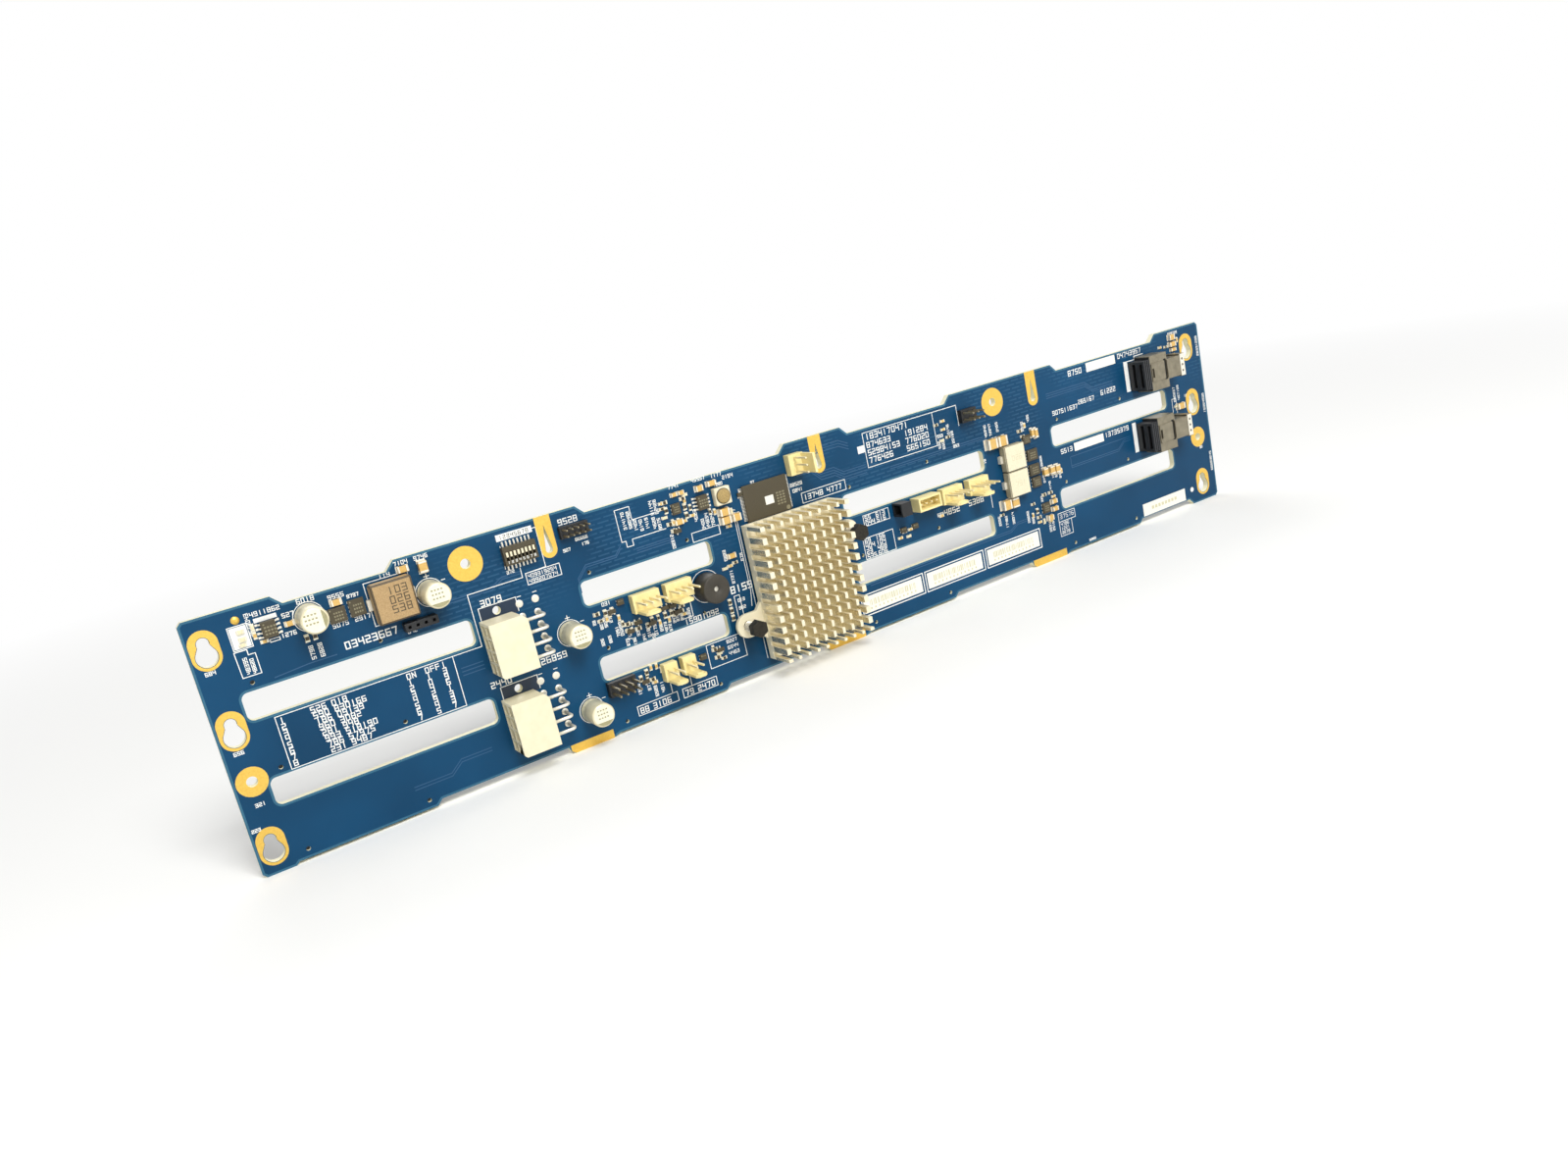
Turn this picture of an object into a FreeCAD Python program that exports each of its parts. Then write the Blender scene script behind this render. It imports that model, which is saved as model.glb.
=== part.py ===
import FreeCAD, Part
import math
import os

# Drive backplane board for a storage chassis with twelve drive bays in four
# columns and three rows.  All lengths are millimetres.  Z is up, X runs along
# the board, and the component side faces -Y while the drives plug in from +Y.

# ---------------------------------------------------------------- the board
column_pitch = 106.6          # one drive bay to the next along the board
row_pitch = 26.5              # one drive bay to the next up the board
column_count = 4
row_count = 3
left_margin = 32.5            # left end of the board to the first drive
right_margin = 71.9           # last drive to the right end of the board
bottom_margin = 3.7           # bottom edge to the lowest line of pegs
top_margin = 22.3             # highest line of pegs to the top edge
board_thickness = 2.4
corner_size = 1.2

board_length = left_margin + (column_count - 1) * column_pitch + right_margin
board_height = bottom_margin + (row_count - 1) * row_pitch + top_margin

notch_depth = 2.9             # shallow notches along the top edge
lip_height = 0.9              # bottom edge under each drive column
recess_height = 2.6           # bottom edge between the drive columns

window_height = 8.4           # air windows between the rows of drives
window_length = 69.1
short_window_length = 49.4
window_corner = 2.0
window_below_row = 2.4        # top of a window under its line of pegs
window_left_of_column = 22.8

keyhole_neck = 3.4            # takes the shank of a three millimetre screw
keyhole_mouth = 6.0           # lets the head of the same screw through
keyhole_drop = 4.0            # neck centre to mouth centre
keyhole_inset = 4.9
keyhole_right_inset = 8.8
screw_hole = 3.2
peg_hole = 1.4
peg_spacing = 37.2

# ------------------------------------------------------- power headers
power_pitch = 4.2
power_ways = 4
power_body_depth = 12.6
power_body_rise = 9.6
power_body_length = 17.9
power_body_corner = 1.6
power_cell = 3.5
power_pin = 1.07

# ------------------------------------------------------- heat sink and chip
chip_size = 27.0
chip_rise = 1.3
pad_thickness = 0.45
pad_inset = 3.0
sink_width = 37.6
sink_height = 49.4
sink_base = 1.7
sink_ridge = 1.1
sink_fin_rise = 10.45
sink_fin_count = 10
sink_outer_fin = 1.8
sink_inner_fin = 1.2
sink_cut_width = 2.6
sink_cut_pitch = 4.12
sink_first_pin = 1.52
ear_radius = 4.3
left_ear_reach = 25.4
left_ear_drop = 10.05
right_ear_reach = 23.7
right_ear_rise = 10.6
sink_screw = 3.0
sink_screw_head = 5.6
sink_screw_head_rise = 3.2
spring_room = 5.3
spring_wire = 0.5
spring_radius = 1.85
spring_turns = 5
spring_steps = 10

# ------------------------------------------------------- headers and ports
fan_pitch = 2.54
fan_base_rise = 3.3
fan_base_depth = 6.3
fan_wall = 1.0
fan_wall_rise = 11.2
square_pin = 0.64
port_nose_length = 4.1
port_cage_length = 10.4
port_tail_length = 7.8
port_clamp_length = 3.0
port_width = 15.0
port_nose_width = 12.2
port_tail_width = 8.4
port_rise = 8.4
sheet = 0.4

# ------------------------------------------------------- small switches
switch_ways = 8
switch_pitch = 1.27
switch_length = 11.1
switch_depth = 6.0
switch_rise = 2.4
slider_travel = 1.2
slider_width = 0.64
slider_length = 1.5
slider_play = 0.08

# ------------------------------------------------------- wound and can parts
can_radius = 4.0
can_rise = 10.0
choke_size = 12.7
choke_rise = 5.4
coil_size = 10.4
coil_rise = 3.9
buzzer_radius = 5.1
buzzer_rise = 8.0

# ------------------------------------------------------- drive connectors
drive_length = 42.8
drive_below = 2.2
drive_above = 4.8
drive_rise = 9.2
drive_flange = 2.6
drive_slot = 2.2
drive_slot_depth = 5.6

# The component face lies so that the whole object is centred on Y = 0.
sink_top = chip_rise + pad_thickness + sink_base + sink_ridge + sink_fin_rise
front_face = (sink_top - board_thickness - drive_rise) / 2.0
back = -board_thickness

os.makedirs("parts", exist_ok=True)


# ---------------------------------------------------------------- helpers
# A place is given as across (from the left end), up (from the bottom edge)
# and out (from the component face, negative towards the drives).
def place(across, up, out):
    return FreeCAD.Vector(across - board_length / 2.0, front_face - out, up)


def block(across_low, up_low, out_low, width, height, rise):
    corner = place(across_low, up_low, out_low + rise)
    return Part.makeBox(width, rise, height, corner)


def centred_block(across, up, out_low, width, height, rise):
    return block(across - width / 2.0, up - height / 2.0, out_low, width, height, rise)


def disc(across, up, out_low, radius, rise):
    return Part.makeCylinder(radius, rise, place(across, up, out_low), FreeCAD.Vector(0, -1, 0))


def many_sided(across, up, out_low, radius, sides, rise):
    # A light stand-in for a small round hole or peg.
    corners = []
    for number in range(sides):
        angle = 2.0 * math.pi * (number + 0.5) / sides
        corners.append((across + radius * math.cos(angle), up + radius * math.sin(angle)))
    return plate(corners, out_low, rise)


def plate(points, out_low, rise):
    corners = [place(across, up, out_low) for across, up in points]
    outline = Part.makePolygon(corners + [corners[0]])
    return Part.Face(outline).extrude(FreeCAD.Vector(0, -rise, 0))


def bar_along_board(points, across_low, width):
    # A profile of (up, out) points carried along the board.
    corners = [place(across_low, up, out) for up, out in points]
    outline = Part.makePolygon(corners + [corners[0]])
    return Part.Face(outline).extrude(FreeCAD.Vector(width, 0, 0))


def bar_up_board(points, up_low, height):
    # A profile of (across, out) points carried up the board.
    corners = [place(across, up_low, out) for across, out in points]
    outline = Part.makePolygon(corners + [corners[0]])
    return Part.Face(outline).extrude(FreeCAD.Vector(0, 0, height))


def soft_block(across_low, up_low, out_low, width, height, rise, corner):
    shape = block(across_low, up_low, out_low, width, height, rise)
    upright = []
    for edge in shape.Edges:
        run = edge.Vertexes[1].Point - edge.Vertexes[0].Point
        if abs(run.y) > rise / 2.0 and abs(run.x) + abs(run.z) < 0.001:
            upright.append(edge)
    return shape.makeFillet(corner, upright)


def turned(across, up, profile):
    # A profile of (radius, out) points spun about an axis square to the board.
    points = [place(across + radius, up, out) for radius, out in profile]
    outline = Part.makePolygon(points + [points[0]])
    return Part.Face(outline).revolve(place(across, up, 0), FreeCAD.Vector(0, 1, 0), 360)


def joined(shapes):
    whole = shapes[0]
    if len(shapes) > 1:
        whole = whole.multiFuse(shapes[1:])
    return whole.removeSplitter()


def write(name, shape):
    shape.exportStep("parts/" + name + ".step")


def column(number):
    return left_margin + number * column_pitch


def row(number):
    # Row 0 is the highest line of drives.
    return bottom_margin + (row_count - 1 - number) * row_pitch


def under_top(distance):
    return board_height - distance


# ---------------------------------------------------------------- the board
def board_outline():
    half_bay = window_left_of_column - 0.9
    points = [(0, corner_size), (corner_size, 0)]
    points += [(column(0) - half_bay - 1.1, 0), (column(0) - half_bay, lip_height)]
    tab_widths = (15.8, 17.7, 19.1)
    for number in range(column_count):
        lip_end = column(number) + 21.7
        points += [(lip_end - 1.0, lip_height), (lip_end + 0.8, recess_height)]
        if number < column_count - 1:
            next_lip = column(number + 1) - half_bay
            tab_end = next_lip - 2.4
            tab_start = tab_end - tab_widths[number]
            points += [(tab_start - 0.6, recess_height), (tab_start, 1.0), (tab_start + 1.4, 0)]
            points += [(tab_end, 0), (next_lip, lip_height)]
    foot = board_length - 16.2
    points += [(foot - 2.5, recess_height), (foot, 0)]
    points += [(board_length - corner_size, 0), (board_length, corner_size)]
    points += [(board_length, board_height - corner_size)]
    points += [(board_length - corner_size, board_height)]
    # Each notch is given by where its two slopes leave the top edge.
    notches = [
        (column(3) - 17.9, column(3) + 44.3),
        (column(2) - 17.9, column(2) + 34.5),
        (column(1) - 17.9, column(1) + 64.1),
        (column(0) - 7.3, column(0) + 28.8),
    ]
    floor = board_height - notch_depth
    for left, right in notches:
        points += [(right, board_height), (right - notch_depth, floor)]
        points += [(left + notch_depth, floor), (left, board_height)]
    points += [(corner_size, board_height), (0, board_height - corner_size)]
    return points


def keyhole(across, neck_up):
    # A narrow neck over a wide mouth, joined by two slanting sides.
    neck = keyhole_neck / 2.0
    mouth = keyhole_mouth / 2.0
    mouth_up = neck_up - keyhole_drop
    through = board_thickness + 2.0
    top = disc(across, neck_up, back - 1.0, neck, through)
    bottom = disc(across, mouth_up, back - 1.0, mouth, through)
    sides = [
        (across - neck, neck_up),
        (across - neck, neck_up - 0.5 * neck),
        (across - 0.93 * mouth, mouth_up + 0.37 * mouth),
        (across + 0.93 * mouth, mouth_up + 0.37 * mouth),
        (across + neck, neck_up - 0.5 * neck),
        (across + neck, neck_up),
    ]
    return joined([top, bottom, plate(sides, back - 1.0, through)])


def teardrop(across):
    # A round end that narrows to a point near the top edge.
    through = board_thickness + 2.0
    end_up = under_top(11.1)
    radius = 1.2
    point = [(across - radius, end_up), (across + radius, end_up), (across, under_top(3.0))]
    return joined([disc(across, end_up, back - 1.0, radius, through), plate(point, back - 1.0, through)])


sink_across = column(2) - 48.6
sink_up = row(1) + 1.0
screw_places = [
    (sink_across - left_ear_reach, sink_up - left_ear_drop),
    (sink_across + right_ear_reach, sink_up + right_ear_rise),
]
side_hole_up = row(1) - 1.25
top_hole_up = under_top(7.6)
keyhole_ups = [under_top(7.5), under_top(32.0), under_top(68.4)]

through_board = board_thickness + 2.0
cuts = []
for number in range(column_count):
    for gap in range(row_count - 1):
        length = window_length
        if number == 1:
            length = short_window_length
        left = column(number) - window_left_of_column
        low = row(gap) - window_below_row - window_height
        cuts.append(soft_block(left, low, back - 1.0, length, window_height, through_board, window_corner))
    for level in range(row_count):
        for side in (-1, 1):
            across = column(number) + side * peg_spacing / 2.0
            cuts.append(many_sided(across, row(level), back - 1.0, peg_hole / 2.0, 8, through_board))
for up in keyhole_ups:
    cuts.append(keyhole(keyhole_inset, up))
    cuts.append(keyhole(board_length - keyhole_right_inset, up))
for across in (keyhole_inset + 0.5, board_length - keyhole_right_inset + 0.5):
    cuts.append(disc(across, side_hole_up, back - 1.0, screw_hole / 2.0, through_board))
for across in (column(0) + 49.6, column(3) - 51.0):
    cuts.append(disc(across, top_hole_up, back - 1.0, screw_hole / 2.0, through_board))
for number in range(1, column_count):
    cuts.append(teardrop(column(number) - 29.6))
for across, up in screw_places:
    cuts.append(disc(across, up, back - 1.0, sink_screw / 2.0 + 0.2, through_board))
header_across = column(1) - 58.0
for level in (0, 1):
    cuts.append(disc(header_across + 6.5, row(level) - 2.4, back - 1.0, 1.35, through_board))
board = plate(board_outline(), back, board_thickness).cut(Part.makeCompound(cuts))
write("circuit_board", board)


# ------------------------------------------------------- power headers
def power_cell_ups(centre_up):
    first = centre_up - (power_ways - 1) * power_pitch / 2.0
    return [first + way * power_pitch for way in range(power_ways)]


power_cell_outs = (power_body_rise / 2.0 - power_pitch / 2.0, power_body_rise / 2.0 + power_pitch / 2.0)


def power_header(centre_up):
    # The housing has one slanted corner at the back and a small one in front.
    low = centre_up - power_body_length / 2.0
    high = centre_up + power_body_length / 2.0
    rear = header_across + power_body_depth
    body = plate([
        (header_across, high),
        (header_across, low + power_body_corner / 2.0),
        (header_across + power_body_corner / 2.0, low),
        (rear, low),
        (rear, high - power_body_corner),
        (rear - power_body_corner, high),
    ], 0, power_body_rise)
    hollows = []
    for up in power_cell_ups(centre_up):
        for out in power_cell_outs:
            low = out - power_cell / 2.0
            hollows.append(centred_block(
                header_across + 4.8, up, low, 9.62, power_cell, power_cell))
            hollows.append(centred_block(
                header_across + power_body_depth - 1.0, up, out - power_pin / 2.0,
                6.0, power_pin, power_pin))
    return body.cut(Part.makeCompound(hollows))


def power_pin_shape(up, out, foot_across):
    # A square pin that leaves the back of the housing and bends to the board.
    half = power_pin / 2.0
    start = header_across + 2.2
    profile = [
        (start, out - half),
        (foot_across - half, out - half),
        (foot_across - half, 0),
        (foot_across + half, 0),
        (foot_across + half, out - 0.5),
        (foot_across - 0.6, out + half),
        (start, out + half),
    ]
    return bar_up_board(profile, up - half, power_pin)


power_pins = []
for level, name in ((1, "power_header_1"), (2, "power_header_2")):
    centre_up = row(level) + row_pitch / 2.0
    write(name, power_header(centre_up))
    for up in power_cell_ups(centre_up):
        near_foot = header_across + power_body_depth + 1.4
        far_foot = near_foot + 5.3
        power_pins.append(power_pin_shape(up, power_cell_outs[0], near_foot))
        power_pins.append(power_pin_shape(up, power_cell_outs[1], far_foot))
write("power_pins", Part.makeCompound(power_pins))


# ------------------------------------------------------- heat sink and chip
expander = centred_block(sink_across, sink_up, 0, chip_size, chip_size, chip_rise)
write("expander_chip", expander)
pad_size = chip_size - 2.0 * pad_inset
write("thermal_pad", centred_block(sink_across, sink_up, chip_rise, pad_size, pad_size, pad_thickness))

base_out = chip_rise + pad_thickness
sink_left = sink_across - sink_width / 2.0
sink_low = sink_up - sink_height / 2.0


def ear(side, across, up):
    # A rounded ear with a small web where it leaves the side of the base.
    edge = sink_across + side * sink_width / 2.0
    arm = block(
        min(across, edge), up - ear_radius, base_out,
        abs(edge - across) + 0.01, 2.0 * ear_radius, sink_base)
    round_end = disc(across, up, base_out, ear_radius, sink_base)
    web = []
    for turn in (-1, 1):
        root = up + turn * ear_radius
        corner = [(edge, root), (edge + side * 2.2, root), (edge, root + turn * 2.6)]
        web.append(plate(corner, base_out, sink_base))
    return joined([arm, round_end] + web)


fins = []
fin_pitch = (sink_width - sink_outer_fin) / (sink_fin_count - 1)
for number in range(sink_fin_count):
    thickness = sink_inner_fin
    if number in (0, sink_fin_count - 1):
        thickness = sink_outer_fin
    centre = sink_left + sink_outer_fin / 2.0 + number * fin_pitch
    fins.append(block(
        centre - thickness / 2.0, sink_low, base_out + sink_base,
        thickness, sink_height, sink_ridge + sink_fin_rise))
cross_cuts = []
cut_count = int((sink_height - sink_first_pin - 2.0) / sink_cut_pitch)
for number in range(cut_count):
    low = sink_low + sink_first_pin + number * sink_cut_pitch
    cross_cuts.append(block(
        sink_left - 1.0, low, base_out + sink_base + sink_ridge,
        sink_width + 2.0, sink_cut_width, sink_fin_rise + 1.0))
narrow_cut = sink_low + sink_height - 1.7
cross_cuts.append(block(
    sink_left - 1.0, narrow_cut, base_out + sink_base + sink_ridge,
    sink_width + 2.0, 0.95, sink_fin_rise + 1.0))
pins = Part.makeCompound(fins).cut(Part.makeCompound(cross_cuts))
sink_plate = block(sink_left, sink_low, base_out, sink_width, sink_height, sink_base)
ears = []
for side, spot in ((-1, screw_places[0]), (1, screw_places[1])):
    hole = disc(spot[0], spot[1], base_out - 1.0, sink_screw / 2.0 + 0.3, sink_base + 2.0)
    ears.append(ear(side, spot[0], spot[1]).cut(hole))
heatsink = sink_plate.multiFuse(ears + pins.Solids)
write("heatsink", heatsink)


ear_top = base_out + sink_base


def banded_solid(rings):
    # A closed solid through equal rings of corners, skinned with flat triangles.
    count = len(rings[0])
    faces = []
    for near, far in zip(rings, rings[1:]):
        for i in range(count):
            j = (i + 1) % count
            for corners in ((near[i], near[j], far[j]), (near[i], far[j], far[i])):
                faces.append(Part.Face(Part.makePolygon(list(corners) + [corners[0]])))
    for end in (rings[0], rings[-1]):
        faces.append(Part.Face(Part.makePolygon(end + [end[0]])))
    return Part.makeSolid(Part.makeShell(faces))


def spring(across, up):
    # A coil of square wire, laid in short straight steps round the screw.
    height = spring_room - spring_wire
    steps = spring_turns * spring_steps
    half = spring_wire / 2.0
    rings = []
    for number in range(steps + 1):
        angle = 2.0 * math.pi * number / spring_steps
        middle = ear_top + half + height * number / steps
        ring = []
        for side, rise in ((-1, -1), (1, -1), (1, 1), (-1, 1)):
            reach = spring_radius + side * half
            spot_across = across + reach * math.cos(angle)
            spot_up = up + reach * math.sin(angle)
            ring.append(place(spot_across, spot_up, middle + rise * half))
        rings.append(ring)
    return banded_solid(rings)


screws = []
springs = []
nuts = []
head_low = ear_top + spring_room
nut_rise = 2.4
nut_size = 3.2
for across, up in screw_places:
    corners = []
    for number in range(6):
        angle = math.radians(60 * number + 30)
        reach = sink_screw_head / 2.0 / math.cos(math.radians(30))
        corners.append((across + reach * math.cos(angle), up + reach * math.sin(angle)))
    head = plate(corners, head_low, sink_screw_head_rise)
    shank = disc(across, up, back - nut_rise - 0.6, sink_screw / 2.0,
                 head_low - back + nut_rise + 0.6)
    screws.append(joined([head, shank]))
    nut = many_sided(across, up, back - nut_rise, nut_size, 6, nut_rise)
    nuts.append(nut.cut(disc(across, up, back - nut_rise - 1.0, sink_screw / 2.0, nut_rise + 2.0)))
    springs.append(spring(across, up))
write("heatsink_screws", Part.makeCompound(screws))
write("heatsink_springs", Part.makeCompound(springs))
write("heatsink_nuts", Part.makeCompound(nuts))


# ------------------------------------------------------- leaded chips
def leaded_chip(across, up, width, height, rise, reach):
    # A moulded body that sits on one strip of leads at each end.
    shapes = [centred_block(across, up, lead_rise / 2.0, width, height, rise)]
    for side in (-1, 1):
        middle = across + side * (width + reach) / 2.0
        shapes.append(centred_block(middle, up, 0, reach + 0.2, height - 0.8, lead_rise))
    return joined(shapes)


memory_across = column(2) - 54.3
memory_up = under_top(16.6)
memory_width = 18.2
memory_height = 12.9
lead_rise = 0.3
write("memory_chip", leaded_chip(memory_across, memory_up, memory_width, memory_height, 1.1, 0.8))

chips = [
    leaded_chip(column(0) - 10.0, under_top(8.8), 3.9, 5.0, 1.5, 1.1),
    leaded_chip(column(1) + 27.1, under_top(11.2), 3.9, 5.0, 1.5, 1.1),
]
# Flat packages with no legs: across, up, width, height.
flat_chips = [
    (column(0) + 9.0, under_top(10.9), 5.2, 4.8),
    (column(0) + 14.9, under_top(10.4), 4.8, 5.4),
    (column(1) + 17.0, under_top(10.7), 3.5, 4.0),
    (column(1) + 14.1, row(2) + 11.9, 2.8, 2.3),
    (column(1) - 10.8, row(1) + 13.7, 2.6, 2.2),
    (column(2) + 1.5, row(1) + 4.1, 2.9, 2.2),
    (column(2) + 7.2, row(1) + 4.1, 2.9, 2.2),
    (column(3) - 37.2, row(1) + 22.6, 4.2, 3.7),
    (column(3) - 35.4, row(1) + 15.8, 5.7, 4.8),
    (column(3) - 35.4, row(1) + 9.6, 5.7, 4.8),
    (column(3) - 35.2, row(1) + 4.4, 4.9, 4.4),
    (column(3) - 32.3, row(2) + 19.1, 4.2, 4.4),
]
for across, up, width, height in flat_chips:
    chips.append(centred_block(across, up, 0, width, height, 1.0))
write("small_chips", Part.makeCompound(chips))

# ------------------------------------------------------- chip capacitors
# Across, up, width, height, rise of each block.
capacitor_places = [
    (column(0) + 9.6, under_top(7.2), 3.0, 1.8, 1.2),
    (column(0) + 30.7, under_top(3.4), 3.2, 2.0, 1.4),
    (column(0) + 36.6, under_top(4.4), 2.6, 3.6, 1.9),
    (column(0) - 4.3, under_top(9.1), 2.4, 1.5, 1.0),
    (column(1) + 34.4, under_top(16.7), 3.8, 2.6, 1.9),
    (column(1) + 34.4, under_top(19.7), 3.8, 2.6, 1.9),
    (column(1) + 38.7, under_top(19.7), 3.2, 2.6, 1.9),
    (column(1) + 27.2, under_top(6.3), 2.8, 2.0, 1.3),
    (column(1) + 32.2, under_top(5.8), 3.4, 1.8, 1.3),
    (column(1) + 17.4, under_top(5.9), 2.2, 1.4, 1.0),
    (column(1) + 20.2, under_top(5.9), 2.2, 1.4, 1.0),
    (column(1) + 17.0, under_top(15.4), 3.2, 1.8, 1.2),
    (column(2) - 72.8, row(1) + 16.3, 3.2, 1.7, 1.1),
    (column(3) - 55.9, row(1) + 25.3, 4.8, 4.0, 2.4),
    (column(3) - 50.6, row(1) + 25.3, 4.6, 4.0, 2.4),
    (column(3) - 53.6, row(1) - 0.4, 4.2, 3.8, 2.4),
    (column(3) - 49.2, row(1) - 0.5, 3.4, 3.8, 2.4),
    (column(3) - 33.6, row(1) + 24.4, 1.5, 3.4, 1.3),
    (column(3) - 31.6, row(1) + 23.9, 1.6, 3.8, 1.3),
    (column(3) - 29.9, row(1) + 7.1, 2.4, 3.2, 1.6),
    (column(3) - 26.3, row(1) + 7.1, 2.4, 3.2, 1.6),
    (column(3) - 23.2, row(1) + 6.9, 2.4, 3.2, 1.6),
    (column(3) - 27.6, row(2) + 20.6, 3.0, 1.8, 1.2),
    (column(3) - 27.6, row(2) + 17.4, 3.0, 1.8, 1.2),
    (column(3) - 30.9, row(2) + 14.4, 3.0, 2.2, 1.3),
    (column(3) + 54.0, under_top(3.4), 3.2, 2.4, 1.5),
    (column(3) + 54.2, under_top(6.4), 3.8, 2.0, 1.3),
    (column(3) + 54.6, under_top(8.8), 3.2, 1.4, 1.0),
    (column(3) + 54.7, row(1) + 14.9, 4.4, 2.6, 1.4),
]
capacitors = []
for across, up, width, height, rise in capacitor_places:
    capacitors.append(centred_block(across, up, 0, width, height, rise))
write("chip_capacitors", Part.makeCompound(capacitors))

# ------------------------------------------------------- chip resistors
resistor_long = 2.0
resistor_short = 1.25
resistor_rise = 0.6
# Across, up, and whether the long way runs along the board.
resistor_places = [
    (column(0) - 1.0, under_top(14.9), False),
    (column(0) + 1.3, under_top(14.9), False),
    (column(0) - 17.5, under_top(7.4), True),
    (column(0) - 17.5, under_top(9.6), True),
    (column(1) - 19.8, row(1) + 12.2, True),
    (column(1) - 16.8, row(1) + 11.7, False),
    (column(1) - 14.2, row(1) + 11.7, False),
    (column(1) - 10.2, row(1) + 5.6, True),
    (column(1) - 6.6, row(1) + 5.1, True),
    (column(1) - 10.2, row(1) + 3.4, True),
    (column(1) - 6.6, row(1) + 2.9, True),
    (column(1) - 1.1, row(1) + 4.1, False),
    (column(1) + 4.0, row(1) + 4.1, False),
    (column(1) + 6.4, row(1) + 4.1, False),
    (column(1) + 10.1, row(1) + 3.6, True),
    (column(1) - 10.2, row(2) + 12.3, False),
    (column(1) - 7.7, row(2) + 13.8, False),
    (column(1) - 6.1, row(2) + 10.8, True),
    (column(1) + 13.4, under_top(7.6), True),
    (column(1) + 13.4, under_top(10.4), False),
    (column(1) + 20.4, under_top(8.0), True),
    (column(1) + 20.5, under_top(11.0), False),
    (column(1) + 20.5, under_top(14.0), False),
    (column(1) + 13.7, under_top(15.2), True),
    (column(1) + 14.7, under_top(17.8), True),
    (column(1) + 19.2, row(2) + 12.8, True),
    (column(1) + 19.8, row(2) + 9.8, True),
    (column(1) + 29.1, row(1) + 0.5, False),
    (column(1) + 29.1, row(1) - 2.5, False),
    (column(1) + 29.1, row(1) - 5.3, False),
    (column(3) - 37.1, row(2) + 18.9, False),
    (column(3) - 36.6, row(2) + 16.2, True),
    (column(3) - 32.1, row(2) + 24.5, True),
    (column(3) - 28.5, row(2) + 24.5, True),
    (column(3) - 39.7, row(1) + 26.6, True),
]
resistors = []
for across, up, lengthwise in resistor_places:
    width = resistor_short
    height = resistor_long
    if lengthwise:
        width = resistor_long
        height = resistor_short
    resistors.append(centred_block(across, up, 0, width, height, resistor_rise))
write("chip_resistors", Part.makeCompound(resistors))

# ------------------------------------------------------- can capacitors
can_places = [
    (column(0) + 1.3, under_top(8.9)),
    (column(0) + 36.7, under_top(12.8)),
    (column(1) - 30.1, row(1) + 9.2),
    (column(1) - 29.6, row(2) + 8.3),
]
can_profile = [
    (0, 0),
    (can_radius, 0),
    (can_radius, can_rise - 0.5),
    (can_radius - 0.5, can_rise),
    (0, can_rise),
]
for number, spot in enumerate(can_places):
    write("capacitor_can_%d" % (number + 1), turned(spot[0], spot[1], can_profile))

# ------------------------------------------------------- wound parts
choke_across = column(0) + 25.2
choke_up = under_top(11.1)
choke_body = soft_block(
    choke_across - choke_size / 2.0, choke_up - choke_size / 2.0, 0.3,
    choke_size, choke_size, choke_rise - 0.3, 0.9)
choke_straps = []
for side in (-1, 1):
    strap = centred_block(
        choke_across + side * (choke_size / 2.0 - 0.1), choke_up, 0, 2.6, 3.6, 0.8)
    choke_straps.append(strap)
write("power_choke", joined([choke_body] + choke_straps))

round_across = column(1) + 34.7
round_up = under_top(10.9)
round_half = 3.1
round_cut = 1.0
eight_sides = []
for side_across, side_up in ((1, 1), (-1, 1), (-1, -1), (1, -1)):
    near = (round_across + side_across * (round_half - round_cut), round_up + side_up * round_half)
    far = (round_across + side_across * round_half, round_up + side_up * (round_half - round_cut))
    pair = [far, near]
    if side_across * side_up < 0:
        pair = [near, far]
    eight_sides += pair
round_base = plate(eight_sides, 0, 2.6)
round_core = disc(round_across, round_up, 2.6, 2.6, 0.5)
write("round_inductor", joined([round_base, round_core]))

for number, up in enumerate((row(1) + 17.8, row(1) + 7.2)):
    across = column(3) - 46.9
    body = centred_block(across, up, 0.25, coil_size, coil_size - 0.2, coil_rise - 0.25)
    feet = []
    for side in (-1, 1):
        feet.append(centred_block(across + side * (coil_size / 2.0), up, 0, 2.4, 3.2, 0.7))
    write("square_inductor_%d" % (number + 1), joined([body] + feet))

# ------------------------------------------------------- buzzer
buzzer_across = column(1) + 21.6
buzzer_up = row(1) + 8.7
buzzer = turned(buzzer_across, buzzer_up, [
    (0, 0),
    (buzzer_radius, 0),
    (buzzer_radius, buzzer_rise - 0.5),
    (buzzer_radius - 0.5, buzzer_rise),
    (0.9, buzzer_rise),
    (0.9, buzzer_rise - 1.6),
    (0, buzzer_rise - 1.6),
])
write("buzzer", buzzer)


# ------------------------------------------------------- switch block
switch_across = column(1) - 39.8
switch_up = under_top(9.0)
slot_room = slider_length + slider_travel + 2.0 * slider_play
slot_top = switch_up + 1.4
slot_low = slot_top - slot_room
foot_extra = 0.16
foot_out = 0.7
foot_rise = 0.5


def slider_across(number):
    return switch_across + (number - (switch_ways - 1) / 2.0) * switch_pitch


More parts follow.
